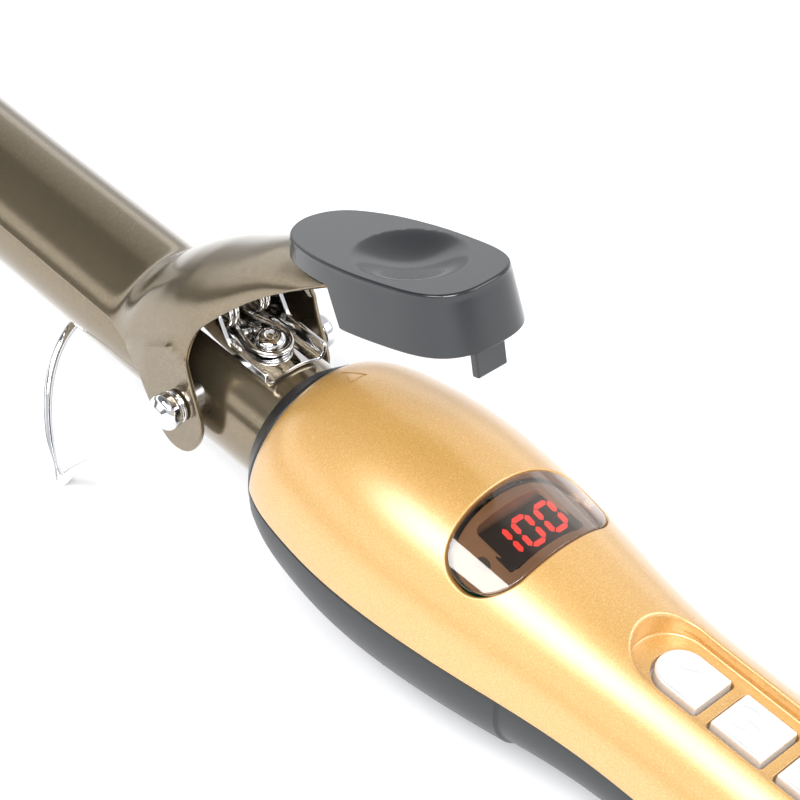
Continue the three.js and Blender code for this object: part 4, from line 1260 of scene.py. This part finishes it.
def clamp_place(flat):
    """The clamp's outside from flat points (distance back from the pivot, width along its arch)."""
    y = -flat[:, 0]
    crest, top, low, shoulder = section_at(y)
    share = np.abs(flat[:, 1]) / FOLD
    turn = np.minimum(share, 1) * np.pi / 2
    drop = np.maximum(share - 1, 0) * FOLD
    wall = np.maximum(shoulder - np.minimum(shoulder - 3, 14), 1)
    spread = drop / wall
    lean = np.clip(spread, 0, 1) ** 1.4
    x = top * np.sin(turn) + (low - top) * lean
    z = shoulder + (crest - shoulder) * np.cos(turn) - drop
    return np.stack([x * np.sign(flat[:, 1]), y, z], -1)


def clamp_flat(side_view):
    """Points (place along, height) of the clamp's side view as flat points of its right-hand half."""
    y, z = side_view[:, 0], side_view[:, 1]
    crest, _, _, shoulder = section_at(y)
    cosine = np.clip((z - shoulder) / (crest - shoulder), 0, 1)
    arch = np.arccos(cosine) / (np.pi / 2)
    share = np.where(z >= shoulder, arch, 1 + (shoulder - z) / FOLD)
    return np.stack([-y, share * FOLD], -1)


# The clamp's lower edge in side view, from the spoon's tip to the tongue's end: straight to a point,
# or round a middle point to the last one.
CLAMP_EDGE_LINE = [
    [(SPOON_TIP - 0.3, 12.0)],
    [(SPOON_TIP - 0.6, 5.8), (SPOON_TIP - 9, 5.8)],
    [(20.0, 5.8)],
    [(13.7, 4.9), (10.4, 0.6)],
    [(7.2, -3.3)],
    [(4.1, -7.8), (1.0, -7.8)],
    [(-3.2, -7.8), (-5.3, -3.3)],
    [(-7.1, 0.6), (-5.6, 3.6)],
    [(-4.1, 6.7)],
    [(-0.9, 12.7), (-0.7, 16.2)],
    [(-0.6, 19.7), (-2.9, 22.5)],
    [(-8.0, 29.4), (-14.0, 34.9)],
    [(-18.3, 38.7), (-22.9, 42.1)],
    [(-27.6, 45.3)],
    [(-28.3, 45.8), (-28.3, 46.4)],
]


def side_line():
    """Points along the clamp's lower edge."""
    line = [np.array([SPOON_TIP - 0.3, 13.6])]
    for leg in CLAMP_EDGE_LINE:
        start, end = line[-1], np.array(leg[-1])
        middle = np.array(leg[0]) if len(leg) == 2 else (start + end) / 2
        for t in np.linspace(0, 1, 13)[1:]:
            line.append(start * (1 - t) ** 2 + 2 * middle * t * (1 - t) + end * t**2)
    return np.array(line)


def clamp_plate():
    line = side_line()
    steps = [line[:1]]
    for a, b in zip(line[:-1], line[1:]):
        parts = max(1, int(np.linalg.norm(b - a) / 0.7))
        steps.append(a + (b - a) * (np.arange(1, parts + 1) / parts)[:, None])
    line = np.concatenate(steps)
    keep = np.concatenate([[True], np.linalg.norm(np.diff(line, axis=0), axis=1) > 0.15])
    right = clamp_flat(line[keep])
    inwards = 1 - np.linspace(0, 1, 14)[1:]
    tip = np.stack([np.full(len(inwards), right[0, 0]), right[0, 1] * inwards], -1)[:-1]
    end = np.stack([np.full(len(inwards), right[-1, 0]), right[-1, 1] * inwards], -1)
    half = np.concatenate([tip[::-1], right, end])
    left = half[::-1][1:] * [1, -1]
    middle = np.array([[right[0, 0], 0.0]])
    outline = np.concatenate([middle, half, left])
    turn = np.linspace(0, 2 * np.pi, 24, endpoint=False)
    radius = PIN_RADIUS + 0.4
    hole = clamp_flat(np.stack([radius * np.cos(turn), PIVOT_Z + radius * np.sin(turn)], -1))
    holes = [hole, hole * [1, -1]]
    bent = placed(clamp_place)
    made = sheet(bent, outline, holes=holes, thickness=SHEET, radius=CLAMP_EDGE, spacing=1.1)
    piece("clamp", made, PEARL_BRONZE, "clamp", "pearl_bronze", "clamp_plate")


# ------------------------------------------------------------------ thumb lever

LEVER_RISE = math.radians(18)
LEVER_ORIGIN = Vector((0, -20, 48.9))
LEVER_FRAME = Matrix.Translation(LEVER_ORIGIN) @ Matrix.Rotation(-LEVER_RISE, 4, "X")
LEVER_HEIGHT = 10.6
LEVER_LIP = 3.9
LEVER_DRAFT = 1.3
LEVER_TOP_EDGE = 0.5
LIP_END = -9.4
SKIRT_START = -12.6
# Half of the lever's outline in plan, from its front point to its rear.
LEVER_OUTLINE = [
    (0, 7.8), (2.6, 7.2), (4.9, 5.7), (6.9, 3.0), (8.3, -0.6), (9.5, -5.5), (10.2, -11),
    (10.5, -17), (10.3, -24), (9.6, -30.2), (8, -34.1), (5.2, -36.4), (0, -37.2),
]
DISH = {"y": -19.2, "half_width": 9.0, "half_length": 11.2, "depth": 1.9}
LEVER_POCKET = {"half": 7.4, "rear": -33.5, "front": -15, "ceiling": -4.6}
LEVER_TAB = {"half": 3.35, "rear": -35.9, "front": -34.3, "low": -16.6}


def lever_loop():
    """The lever's outline, counter-clockwise, at close steps, with outward normals."""
    half = LEVER_OUTLINE[::-1]
    mirrored = [(-x, y) for x, y in LEVER_OUTLINE[1:-1]]
    around = half + mirrored
    closed = Spline(around[-4:] + around + around[:5])
    start, end = closed.along[4], closed.along[4 + len(around)]
    loop = closed(np.linspace(start, end, 220, endpoint=False))
    way = unit(np.roll(loop, -1, 0) - np.roll(loop, 1, 0))
    return loop, np.stack([way[:, 1], -way[:, 0]], -1)


def lever_bottom(y):
    """Height of the lever's lower edge: a thin lip in front, then the skirt."""
    share = np.clip((LIP_END - y) / (LIP_END - SKIRT_START), 0, 1)
    return -LEVER_LIP - (LEVER_HEIGHT - LEVER_LIP) * share


def lever_top(flat):
    """The lever's top face: flat, with a thumb dish."""
    across = flat[:, 0] / DISH["half_width"]
    along = (flat[:, 1] - DISH["y"]) / DISH["half_length"]
    dip = DISH["depth"] * np.maximum(1 - (across**2 + along**2), 0) ** 1.45
    return np.column_stack([flat, -dip])


def thumb_lever():
    loop, ways = lever_loop()
    made = Surface()
    flat, faces = triangulated(loop - ways * LEVER_TOP_EDGE, spacing=0.7)
    places, normals = placed(lever_top)(flat)
    made.add(places, normals * np.sign(normals[:, 2:]), faces)
    rows = []
    for sine, cosine in quarter(6):
        offset = -LEVER_TOP_EDGE * (1 - sine)
        rows.append(flat_ring(loop, ways, offset, -LEVER_TOP_EDGE * (1 - cosine), (-sine, cosine)))
    low = lever_bottom(loop[:, 1])
    edge = 0.25
    for share in np.linspace(0.1, 1, 8):
        z = -LEVER_TOP_EDGE + (low + edge + LEVER_TOP_EDGE) * share
        draft = LEVER_DRAFT * (-z / LEVER_HEIGHT)
        rows.append(flat_ring(loop, ways, draft[:, None], z, (-1, 0.12)))
    draft = (LEVER_DRAFT * (-low / LEVER_HEIGHT))[:, None]
    for sine, cosine in quarter(4)[1:]:
        offset, z = draft - edge * (1 - cosine), low + edge * (1 - sine)
        rows.append(flat_ring(loop, ways, offset, z, (-cosine, -sine)))
    made.grid(*ring_rows(rows))
    rim_points, _ = rows[-1]
    lever_underside(made, rim_points)
    made.join(lever_tab())
    made.moved(LEVER_FRAME)
    piece("thumb_rest", made, LEVER, "clamp", "lever_plastic", "thumb_lever")


def lever_underside(made, edge):
    """The lip's underside, the skirt's front wall, its lower edge and the hollow within."""
    right = edge[edge[:, 0] > 0]
    right = right[np.argsort(-right[:, 1])]
    lip = right[right[:, 1] > LIP_END]
    ramp = right[(right[:, 1] <= LIP_END) & (right[:, 1] >= SKIRT_START)]
    skirt = right[right[:, 1] < SKIRT_START]
    ramp = np.concatenate([lip[-1:], ramp, skirt[:1]])
    across = np.linspace(-1, 1, 15)[None, :, None]
    wall = ramp[:, None] * [0, 1, 1] + ramp[:, None] * [1, 0, 0] * across
    made.grid(wall, np.broadcast_to([0, 0.94, -0.34], wall.shape).copy(), wrap=False)
    for part in (lip, skirt):
        loop = np.concatenate([part[:, :2], (part[:, :2] * [-1, 1])[::-1]])
        z = part[:, 2].mean()
        step = unit(np.roll(loop, -1, 0) - np.roll(loop, 1, 0))
        out = np.stack([step[:, 1], -step[:, 0]], -1)
        following = np.roll(loop, -1, 0)
        if (loop[:, 0] * following[:, 1] - loop[:, 1] * following[:, 0]).sum() < 0:
            out = -out
        if part is lip:
            flat, faces = triangulated(loop, spacing=1.2)
            made.add(np.column_stack([flat, np.full(len(flat), z)]), -UP, faces)
            continue
        half, rear, front, ceiling = LEVER_POCKET.values()
        pocket, pocket_ways = rectangle(half, rear, front, 4, 1, 0.8)
        flat, faces = triangulated(loop, [pocket], spacing=1.2)
        made.add(np.column_stack([flat, np.full(len(flat), z)]), -UP, faces)
        rows = [flat_ring(pocket, pocket_ways, 0, height, (1, 0)) for height in (z, ceiling)]
        made.grid(*ring_rows(rows))
        flat, faces = triangulated(pocket, spacing=1.5)
        made.add(np.column_stack([flat, np.full(len(flat), ceiling)]), -UP, faces)


def lever_tab():
    """The stop that hangs from the lever's rear."""
    half, rear, front, low = LEVER_TAB.values()
    edge = 0.4
    loop, ways = rectangle(half, rear, front, edge, edge, 0.8)
    made = Surface()
    rows = [flat_ring(loop, ways, 0.0, -4.0, (-1, 0))]
    for sine, cosine in quarter(5):
        offset, z = -edge * (1 - cosine), low + edge * (1 - sine)
        rows.append(flat_ring(loop, ways, offset, z, (-cosine, -sine)))
    made.grid(*ring_rows(rows))
    flat, faces = triangulated(loop - ways * edge, spacing=1.0)
    made.add(np.column_stack([flat, np.full(len(flat), low)]), -UP, faces)
    return made


def screw_surface(head_radius, head_height, shank_radius, shank_length):
    """A pan-head screw along +Z with its head's underside at 0 and a round recess in its top."""
    corners = [
        (0, -shank_length, 0),
        (shank_radius, -shank_length, 0.2),
        (shank_radius, 0, 0),
        (head_radius, 0, 0.1),
        (head_radius, head_height, head_height * 0.8),
        (head_radius * 0.42, head_height, 0.05),
        (head_radius * 0.30, head_height - 0.5, 0.05),
        (0, head_height - 0.7, 0),
    ]
    return lathe(corners, axis="z", segments=48)


# ------------------------------------------------------------------ spring and bracket

bracket_low, bracket_high = extent("spring_bracket")
BRACKET_HALF = bracket_high[0]
BRACKET_SHEET = 0.8
BRACKET_SCREW_Y = -6.5
axle_low, axle_high = extent("spring_axle")
SPRING_Y = (axle_low[1] + axle_high[1]) / 2
SPRING_Z = (axle_low[2] + axle_high[2]) / 2
SPRING_RADIUS = 3.3
SPRING_WIRE = 0.55
SPRING_TURNS = 2.25
SPRING_ENDS = (-5.1, -2.0)  # x where the left coil starts and ends
LOOP_RADIUS = 3.85
FLANGE_TOP = 22.0  # height to which the bracket's section is drawn, over its flanges
FLANGE_LOW = 14.9


def bracket_section():
    """The bracket's outside in cross-section, from the left flange's top to the right one's."""
    radius = BARREL_RADIUS + GAP + BRACKET_SHEET
    spread = math.asin((BRACKET_HALF - 0.4) / radius)
    turns = np.linspace(-spread, spread, 9)[1:-1]
    arc = [(radius * math.sin(a), radius * math.cos(a), 3.0) for a in turns]
    foot = radius * math.cos(spread)
    left = [(-BRACKET_HALF, FLANGE_TOP, 0), (-BRACKET_HALF, foot, 1.0)]
    right = [(-x, z, bend) for x, z, bend in left[::-1]]
    line, _ = rounded([*left, *arc, *right])
    keep = np.concatenate([[True], np.linalg.norm(np.diff(line, axis=0), axis=1) > 1e-3])
    return Spline(line[keep])


def spring_bracket():
    section = bracket_section()
    middle = section.length / 2

    def place(flat):
        spot = section(middle + flat[:, 1])
        return np.stack([spot[:, 0], -flat[:, 0], spot[:, 1]], -1)

    def reach(height):
        """Flat distance from the middle to a height on a flange."""
        return middle - (FLANGE_TOP - height)

    rear, front = -bracket_low[1], -bracket_high[1]
    flange = [
        (rear - CLAMP_EDGE, reach(FLANGE_LOW), 0.5),
        (3.4, reach(FLANGE_LOW), 2.0),
        (-SPRING_Y + 2.6, reach(SPRING_Z + 2.2), 1.5),
        (-SPRING_Y - 2.6, reach(SPRING_Z + 2.2), 2.0),
        (front + CLAMP_EDGE, reach(SPRING_Z - 1.0), 0.5),
    ]
    mirrored = [(u, -v, r) for u, v, r in flange][::-1]
    corners = [*flange, *mirrored]
    outline, _ = loop_of(corners[::-1], 0.6)
    made = sheet(placed(place), outline, thickness=BRACKET_SHEET, radius=0.25, spacing=0.9)
    piece("bracket", made, CHROME, "handle", "chrome", "spring_bracket")
    axle, head, length = 1.2, 1.6, 0.5
    left, right = axle_low[0], axle_high[0]
    corners = [(0, left, 0), (head, left, 0.3), (head, left + length, 0), (axle, left + length, 0)]
    corners += [(axle, right - length, 0), (head, right - length, 0), (head, right, 0.3), (0, right, 0)]
    made = lathe(corners, axis="x", centre=(0, SPRING_Y, SPRING_Z), segments=32)
    piece("axle", made, CHROME, "handle", "chrome", "spring_axle")
    screw = screw_surface(3.0, 2.0, 1.4, 5.5)
    inner, outer, low = 1.5, 3.9, -0.35
    corners = [(inner, low, 0.1), (outer, low, 0.15), (outer, 0.0, 0.15), (inner, 0.0, 0.1)]
    washer = lathe(corners, closed=True, axis="z", segments=48)
    screw.join(washer).moved(Matrix.Translation((0, BRACKET_SCREW_Y, 14.1)))
    piece("bracket_bolt", screw, CHROME, "handle", "chrome", "bracket_screw")


def spring_route():
    """Half of the spring: leg, coil, and its share of the loop round the screw."""
    start_x, end_x = SPRING_ENDS
    points = [
        (start_x, SPRING_Y + 1.4, SPRING_Z + 8.6),
        (start_x, SPRING_Y + SPRING_RADIUS - 0.4, SPRING_Z + 5),
    ]
    per_turn = 24
    steps = int(SPRING_TURNS * per_turn)
    for i in range(steps + 1):
        turn = 2 * math.pi * i / per_turn
        x = start_x + (end_x - start_x) * i / steps
        y, z = SPRING_Y + SPRING_RADIUS * math.cos(turn), SPRING_Z - SPRING_RADIUS * math.sin(turn)
        points.append((x, y, z))
    for degrees in (190, 210, 235, 260):
        turn = math.radians(degrees)
        y = BRACKET_SCREW_Y + LOOP_RADIUS * math.sin(turn)
        points.append((LOOP_RADIUS * math.cos(turn), y, SPRING_Z - SPRING_RADIUS))
    return points


def torsion_spring():
    half = spring_route()
    points = half + [(-x, y, z) for x, y, z in half[::-1]]
    made = sweep(Spline(points).sampled(0.22), SPRING_WIRE, sides=12)
    piece("spring", made, SPRING_CHROME, "handle", "spring_steel", "torsion_spring")


# ------------------------------------------------------------------ stand

WIRE_RADIUS = 1.0
BALL_X = 18.2
STAND_FOOT = np.array([19.3, 32.2, -39.5])
ARCH_HEIGHT = 29.3
ARCH_RISE = math.radians(60)


def stand_route():
    """The stand's wire from the right ball to the left one, at close steps."""
    ball = np.array([BALL_X, 0, PIVOT_Z])
    leg = STAND_FOOT - ball
    points = [ball + leg * t for t in (0.02, 0.25, 0.5, 0.75, 0.93, 0.985)]
    steps = 16
    for i in range(1, steps // 2 + 1):
        turn = math.pi * i / steps
        up = ARCH_HEIGHT * math.sin(turn)
        spot = (STAND_FOOT[0] * math.cos(turn), up * math.cos(ARCH_RISE), up * math.sin(ARCH_RISE))
        points.append(np.array([0, STAND_FOOT[1], STAND_FOOT[2]]) + spot)
    mirrored = [p * [-1, 1, 1] for p in points[:-1]]
    return Spline(points + mirrored[::-1]).sampled(0.6)


# The pin's outline as (radius, place across, corner radius): shank, washer, neck and ball.
PIN = [
    (0, 10.6, 0),
    (PIN_RADIUS, 10.6, 0.1),
    (PIN_RADIUS, 16.2, 0),
    (3.2, 16.2, 0.15),
    (3.2, 16.8, 0.15),
    (2.2, 16.85, 0.1),
    (3.6, 17.4, 1.0),
    (3.6, 19.8, 1.6),
    (1.6, 21.1, 1.4),
    (0, 21.15, 0),
]


def stand():
    """The wire, and at each ear the ball-headed pin that carries it and the bush round the pin."""
    made = sweep(stand_route(), WIRE_RADIUS, sides=16)
    piece("stand_rod", made, CHROME, "stand", "chrome", "stand_wire")
    bore, wall, start, end = PIN_RADIUS + 0.25, 3.0, 10.9, EAR_X - SHEET - GAP
    bush_corners = [(bore, start, 0.1), (wall, start, 0.1), (wall, end, 0.2), (bore, end, 0.1)]
    for side, sign in (("left", -1), ("right", 1)):
        pin = lathe(PIN, axis="x", segments=48).moved(Matrix.Translation((0, 0, PIVOT_Z)))
        bush = lathe(bush_corners, closed=True, axis="x", segments=40)
        bush.moved(Matrix.Translation((0, 0, PIVOT_Z)))
        if sign < 0:
            flip = Matrix.Scale(-1, 4, (1, 0, 0))
            pin.moved(flip)
            bush.moved(flip)
        piece("pin_" + side, pin, CHROME, "stand", "chrome", "pivot_pin_" + side)
        piece("bush_" + side, bush, STEEL, "handle", "steel", "pivot_bush_" + side)


# ------------------------------------------------------------------ cord swivel


def swivel():
    """The gland that turns in the handle's tail, with the bore for the cord."""
    low, high = extent("swivel_gland")
    rear, front = low[1], high[1]
    bore, body, shoulder, neck = 4.0, 8.4, high[0], 5.4
    shoulder_rear, shoulder_front = -180.5, -177.5
    corners = [
        (bore, rear, 0.5),
        (body, rear, 1.2),
        (body, shoulder_rear, 0.2),
        (shoulder, shoulder_rear, 0.2),
        (shoulder, shoulder_front, 0.2),
        (neck, shoulder_front, 0.2),
        (neck, front, 0.3),
        (bore, front, 0.3),
    ]
    made = lathe(corners, closed=True, segments=72, centre=(0, 0, TAIL_RISE))
    piece("gland", made, BLACK, "cord_swivel", "black_plastic", "swivel_gland")


# ------------------------------------------------------------------ inner pieces and fasteners

INNER_LOOKS = [
    (ALUMINIUM, "heater_upper heater_lower"),
    (FILM, "heater_element dropper_capacitor"),
    (CERAMIC, "thermistor barrel_holder"),
    (SLEEVE, "heater_lead_left heater_lead_right supply_lead_live supply_lead_neutral"),
    (BOARD, "circuit_board"),
    (BLACK, "tact_switch_plus tact_switch_power tact_switch_minus triac swivel_retainer"),
    (BRASS, "slip_ring_live slip_ring_neutral contact_live contact_neutral"),
]


def inner_pieces():
    """The CAD bodies that stay as they are, inside the handle and the barrel."""
    for material, nodes in INNER_LOOKS:
        for node in nodes.split():
            held = frame["nodes"][node]
            held.data.materials.clear()
            held.data.materials.append(material)


def fasteners():
    for node in SHELL_SCREWS:
        low, high = extent(node)
        made = screw_surface(2.9, 2.2, 1.2, 16.0)
        made.moved(Matrix.Rotation(math.pi, 4, "X"))
        made.moved(Matrix.Translation((0, (low[1] + high[1]) / 2, low[2] + 2.3)))
        piece(node + "_head", made, STEEL, "handle", "steel", node)
    made = screw_surface(2.4, 1.6, 1.1, 4.8)
    made.moved(Matrix.Rotation(math.pi, 4, "X"))
    made.moved(LEVER_FRAME @ Matrix.Translation((0, -2, -6.2)))
    piece("lever_bolt", made, STEEL, "clamp", "steel", "lever_screw")


# ------------------------------------------------------------------ stage

CAMERA_AZIMUTH = math.radians(-47.806)  # in the iron's own frame
CAMERA_HEIGHT = math.radians(41.821)
CAMERA_ROLL = math.radians(-6.897)
CAMERA_PLACE = Vector((-208.8, -229.09, 276.13))
CAMERA_LENS = 99.23


def camera():
    back = Vector(
        (
            math.sin(CAMERA_AZIMUTH) * math.cos(CAMERA_HEIGHT),
            -math.cos(CAMERA_AZIMUTH) * math.cos(CAMERA_HEIGHT),
            math.sin(CAMERA_HEIGHT),
        )
    )
    right = (-back).cross(Vector((0, 0, 1))).normalized()
    down = (-back).cross(right)
    rolled_right = math.cos(CAMERA_ROLL) * right + math.sin(CAMERA_ROLL) * down
    rolled_down = -math.sin(CAMERA_ROLL) * right + math.cos(CAMERA_ROLL) * down
    turn = Matrix((rolled_right, -rolled_down, back)).transposed().to_4x4()
    data = bpy.data.cameras.new("camera")
    data.lens = CAMERA_LENS
    data.clip_end = 20
    made = bpy.data.objects.new("camera", data)
    bpy.context.scene.collection.objects.link(made)
    made.matrix_world = Matrix.Translation(IRON @ (CAMERA_PLACE * MM)) @ TILT @ turn
    bpy.context.scene.camera = made


def area_light(name, place, target, size, power):
    data = bpy.data.lights.new(name, "AREA")
    data.shape = "RECTANGLE"
    data.size, data.size_y = size
    data.energy = power
    made = bpy.data.objects.new(name, data)
    bpy.context.scene.collection.objects.link(made)
    made.location = place
    made.rotation_euler = (Vector(target) - Vector(place)).to_track_quat("-Z", "Y").to_euler()


def surround(tree):
    """The studio round the table: a pale band above the horizon, dark higher up towards the tip,
    with a grey side and a pale rear."""
    way = add_node(tree, "ShaderNodeTexCoord").outputs["Generated"]
    parts = add_node(tree, "ShaderNodeSeparateXYZ", Vector=way).outputs
    stops = [(0.0, 0.2), (0.13, 0.25), (0.2, 1.6), (0.36, 1.6), (0.45, 0.3), (1.0, 0.17)]
    band = colour_ramp(tree, parts["Z"], *((z, (v * 0.97, v * 0.985, v)) for z, v in stops))
    stops = [(0.0, 0.0), (0.22, 0.5), (0.6, 0.8), (1.0, 0.85)]
    side = colour_ramp(tree, parts["X"], *((x, (v, v, v * 1.02)) for x, v in stops))
    ahead = add_node(tree, "ShaderNodeMix")
    ahead.data_type = "RGBA"
    ahead.blend_type = "LIGHTEN"
    ahead.inputs["Factor"].default_value = 1.0
    tree.links.new(band, ahead.inputs["A"])
    tree.links.new(side, ahead.inputs["B"])
    rear = add_node(tree, "ShaderNodeMapRange", Value=parts["Y"], From_Min=0.05, From_Max=-0.45)
    mixed = add_node(tree, "ShaderNodeMix")
    mixed.data_type = "RGBA"
    tree.links.new(rear.outputs["Result"], mixed.inputs["Factor"])
    tree.links.new(ahead.outputs["Result"], mixed.inputs["A"])
    mixed.inputs["B"].default_value = (0.75, 0.77, 0.8, 1)
    background = tree.nodes["Background"]
    tree.links.new(mixed.outputs["Result"], background.inputs["Color"])
    background.inputs["Strength"].default_value = 0.9


def studio():
    mesh = bpy.data.meshes.new("floor")
    reach = 6.0
    corners = [(x * reach, y * reach, 0) for x, y in ((-1, -1), (1, -1), (1, 1), (-1, 1))]
    mesh.from_pydata(corners, [], [(0, 1, 2, 3)])
    floor = bpy.data.objects.new("floor", mesh)
    bpy.context.scene.collection.objects.link(floor)
    look = Look("floor_white")
    tint = look.ramp(look.noise(3), (0.3, (0.90, 0.90, 0.915)), (0.7, (0.92, 0.92, 0.93)))
    look.set(Base_Color=tint, Roughness=0.75)
    mesh.materials.append(look.material)
    floor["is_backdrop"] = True
    world = bpy.data.worlds.new("studio")
    bpy.context.scene.world = world
    world.use_nodes = True
    surround(world.node_tree)
    area_light("key", (-1.0, -1.0, 1.5), (0, 0, 0.03), (1.0, 1.0), 38)
    area_light("side_box", (-1.1, 0.15, 1.4), (0, -0.05, 0.04), (0.9, 0.6), 15)
    area_light("fill", (0.9, -1.1, 1.0), (0, 0, 0.03), (1.0, 1.0), 10)
    bpy.context.scene.view_settings.view_transform = "Standard"


# ------------------------------------------------------------------ assembly

camera()
studio()
barrel()
cool_tip()
collar()
upper_shell()
lower_shell()
window_lens()
display_bezel()
display()
for key_name, key_place in KEY_PLACES.items():
    key(key_name, key_place)
clamp_plate()
thumb_lever()
spring_bracket()
torsion_spring()
stand()
swivel()
inner_pieces()
fasteners()

boxes = {"cad": cad_box, "visual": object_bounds()}
{name: [list(p) for p in box] for name, box in boxes.items()}
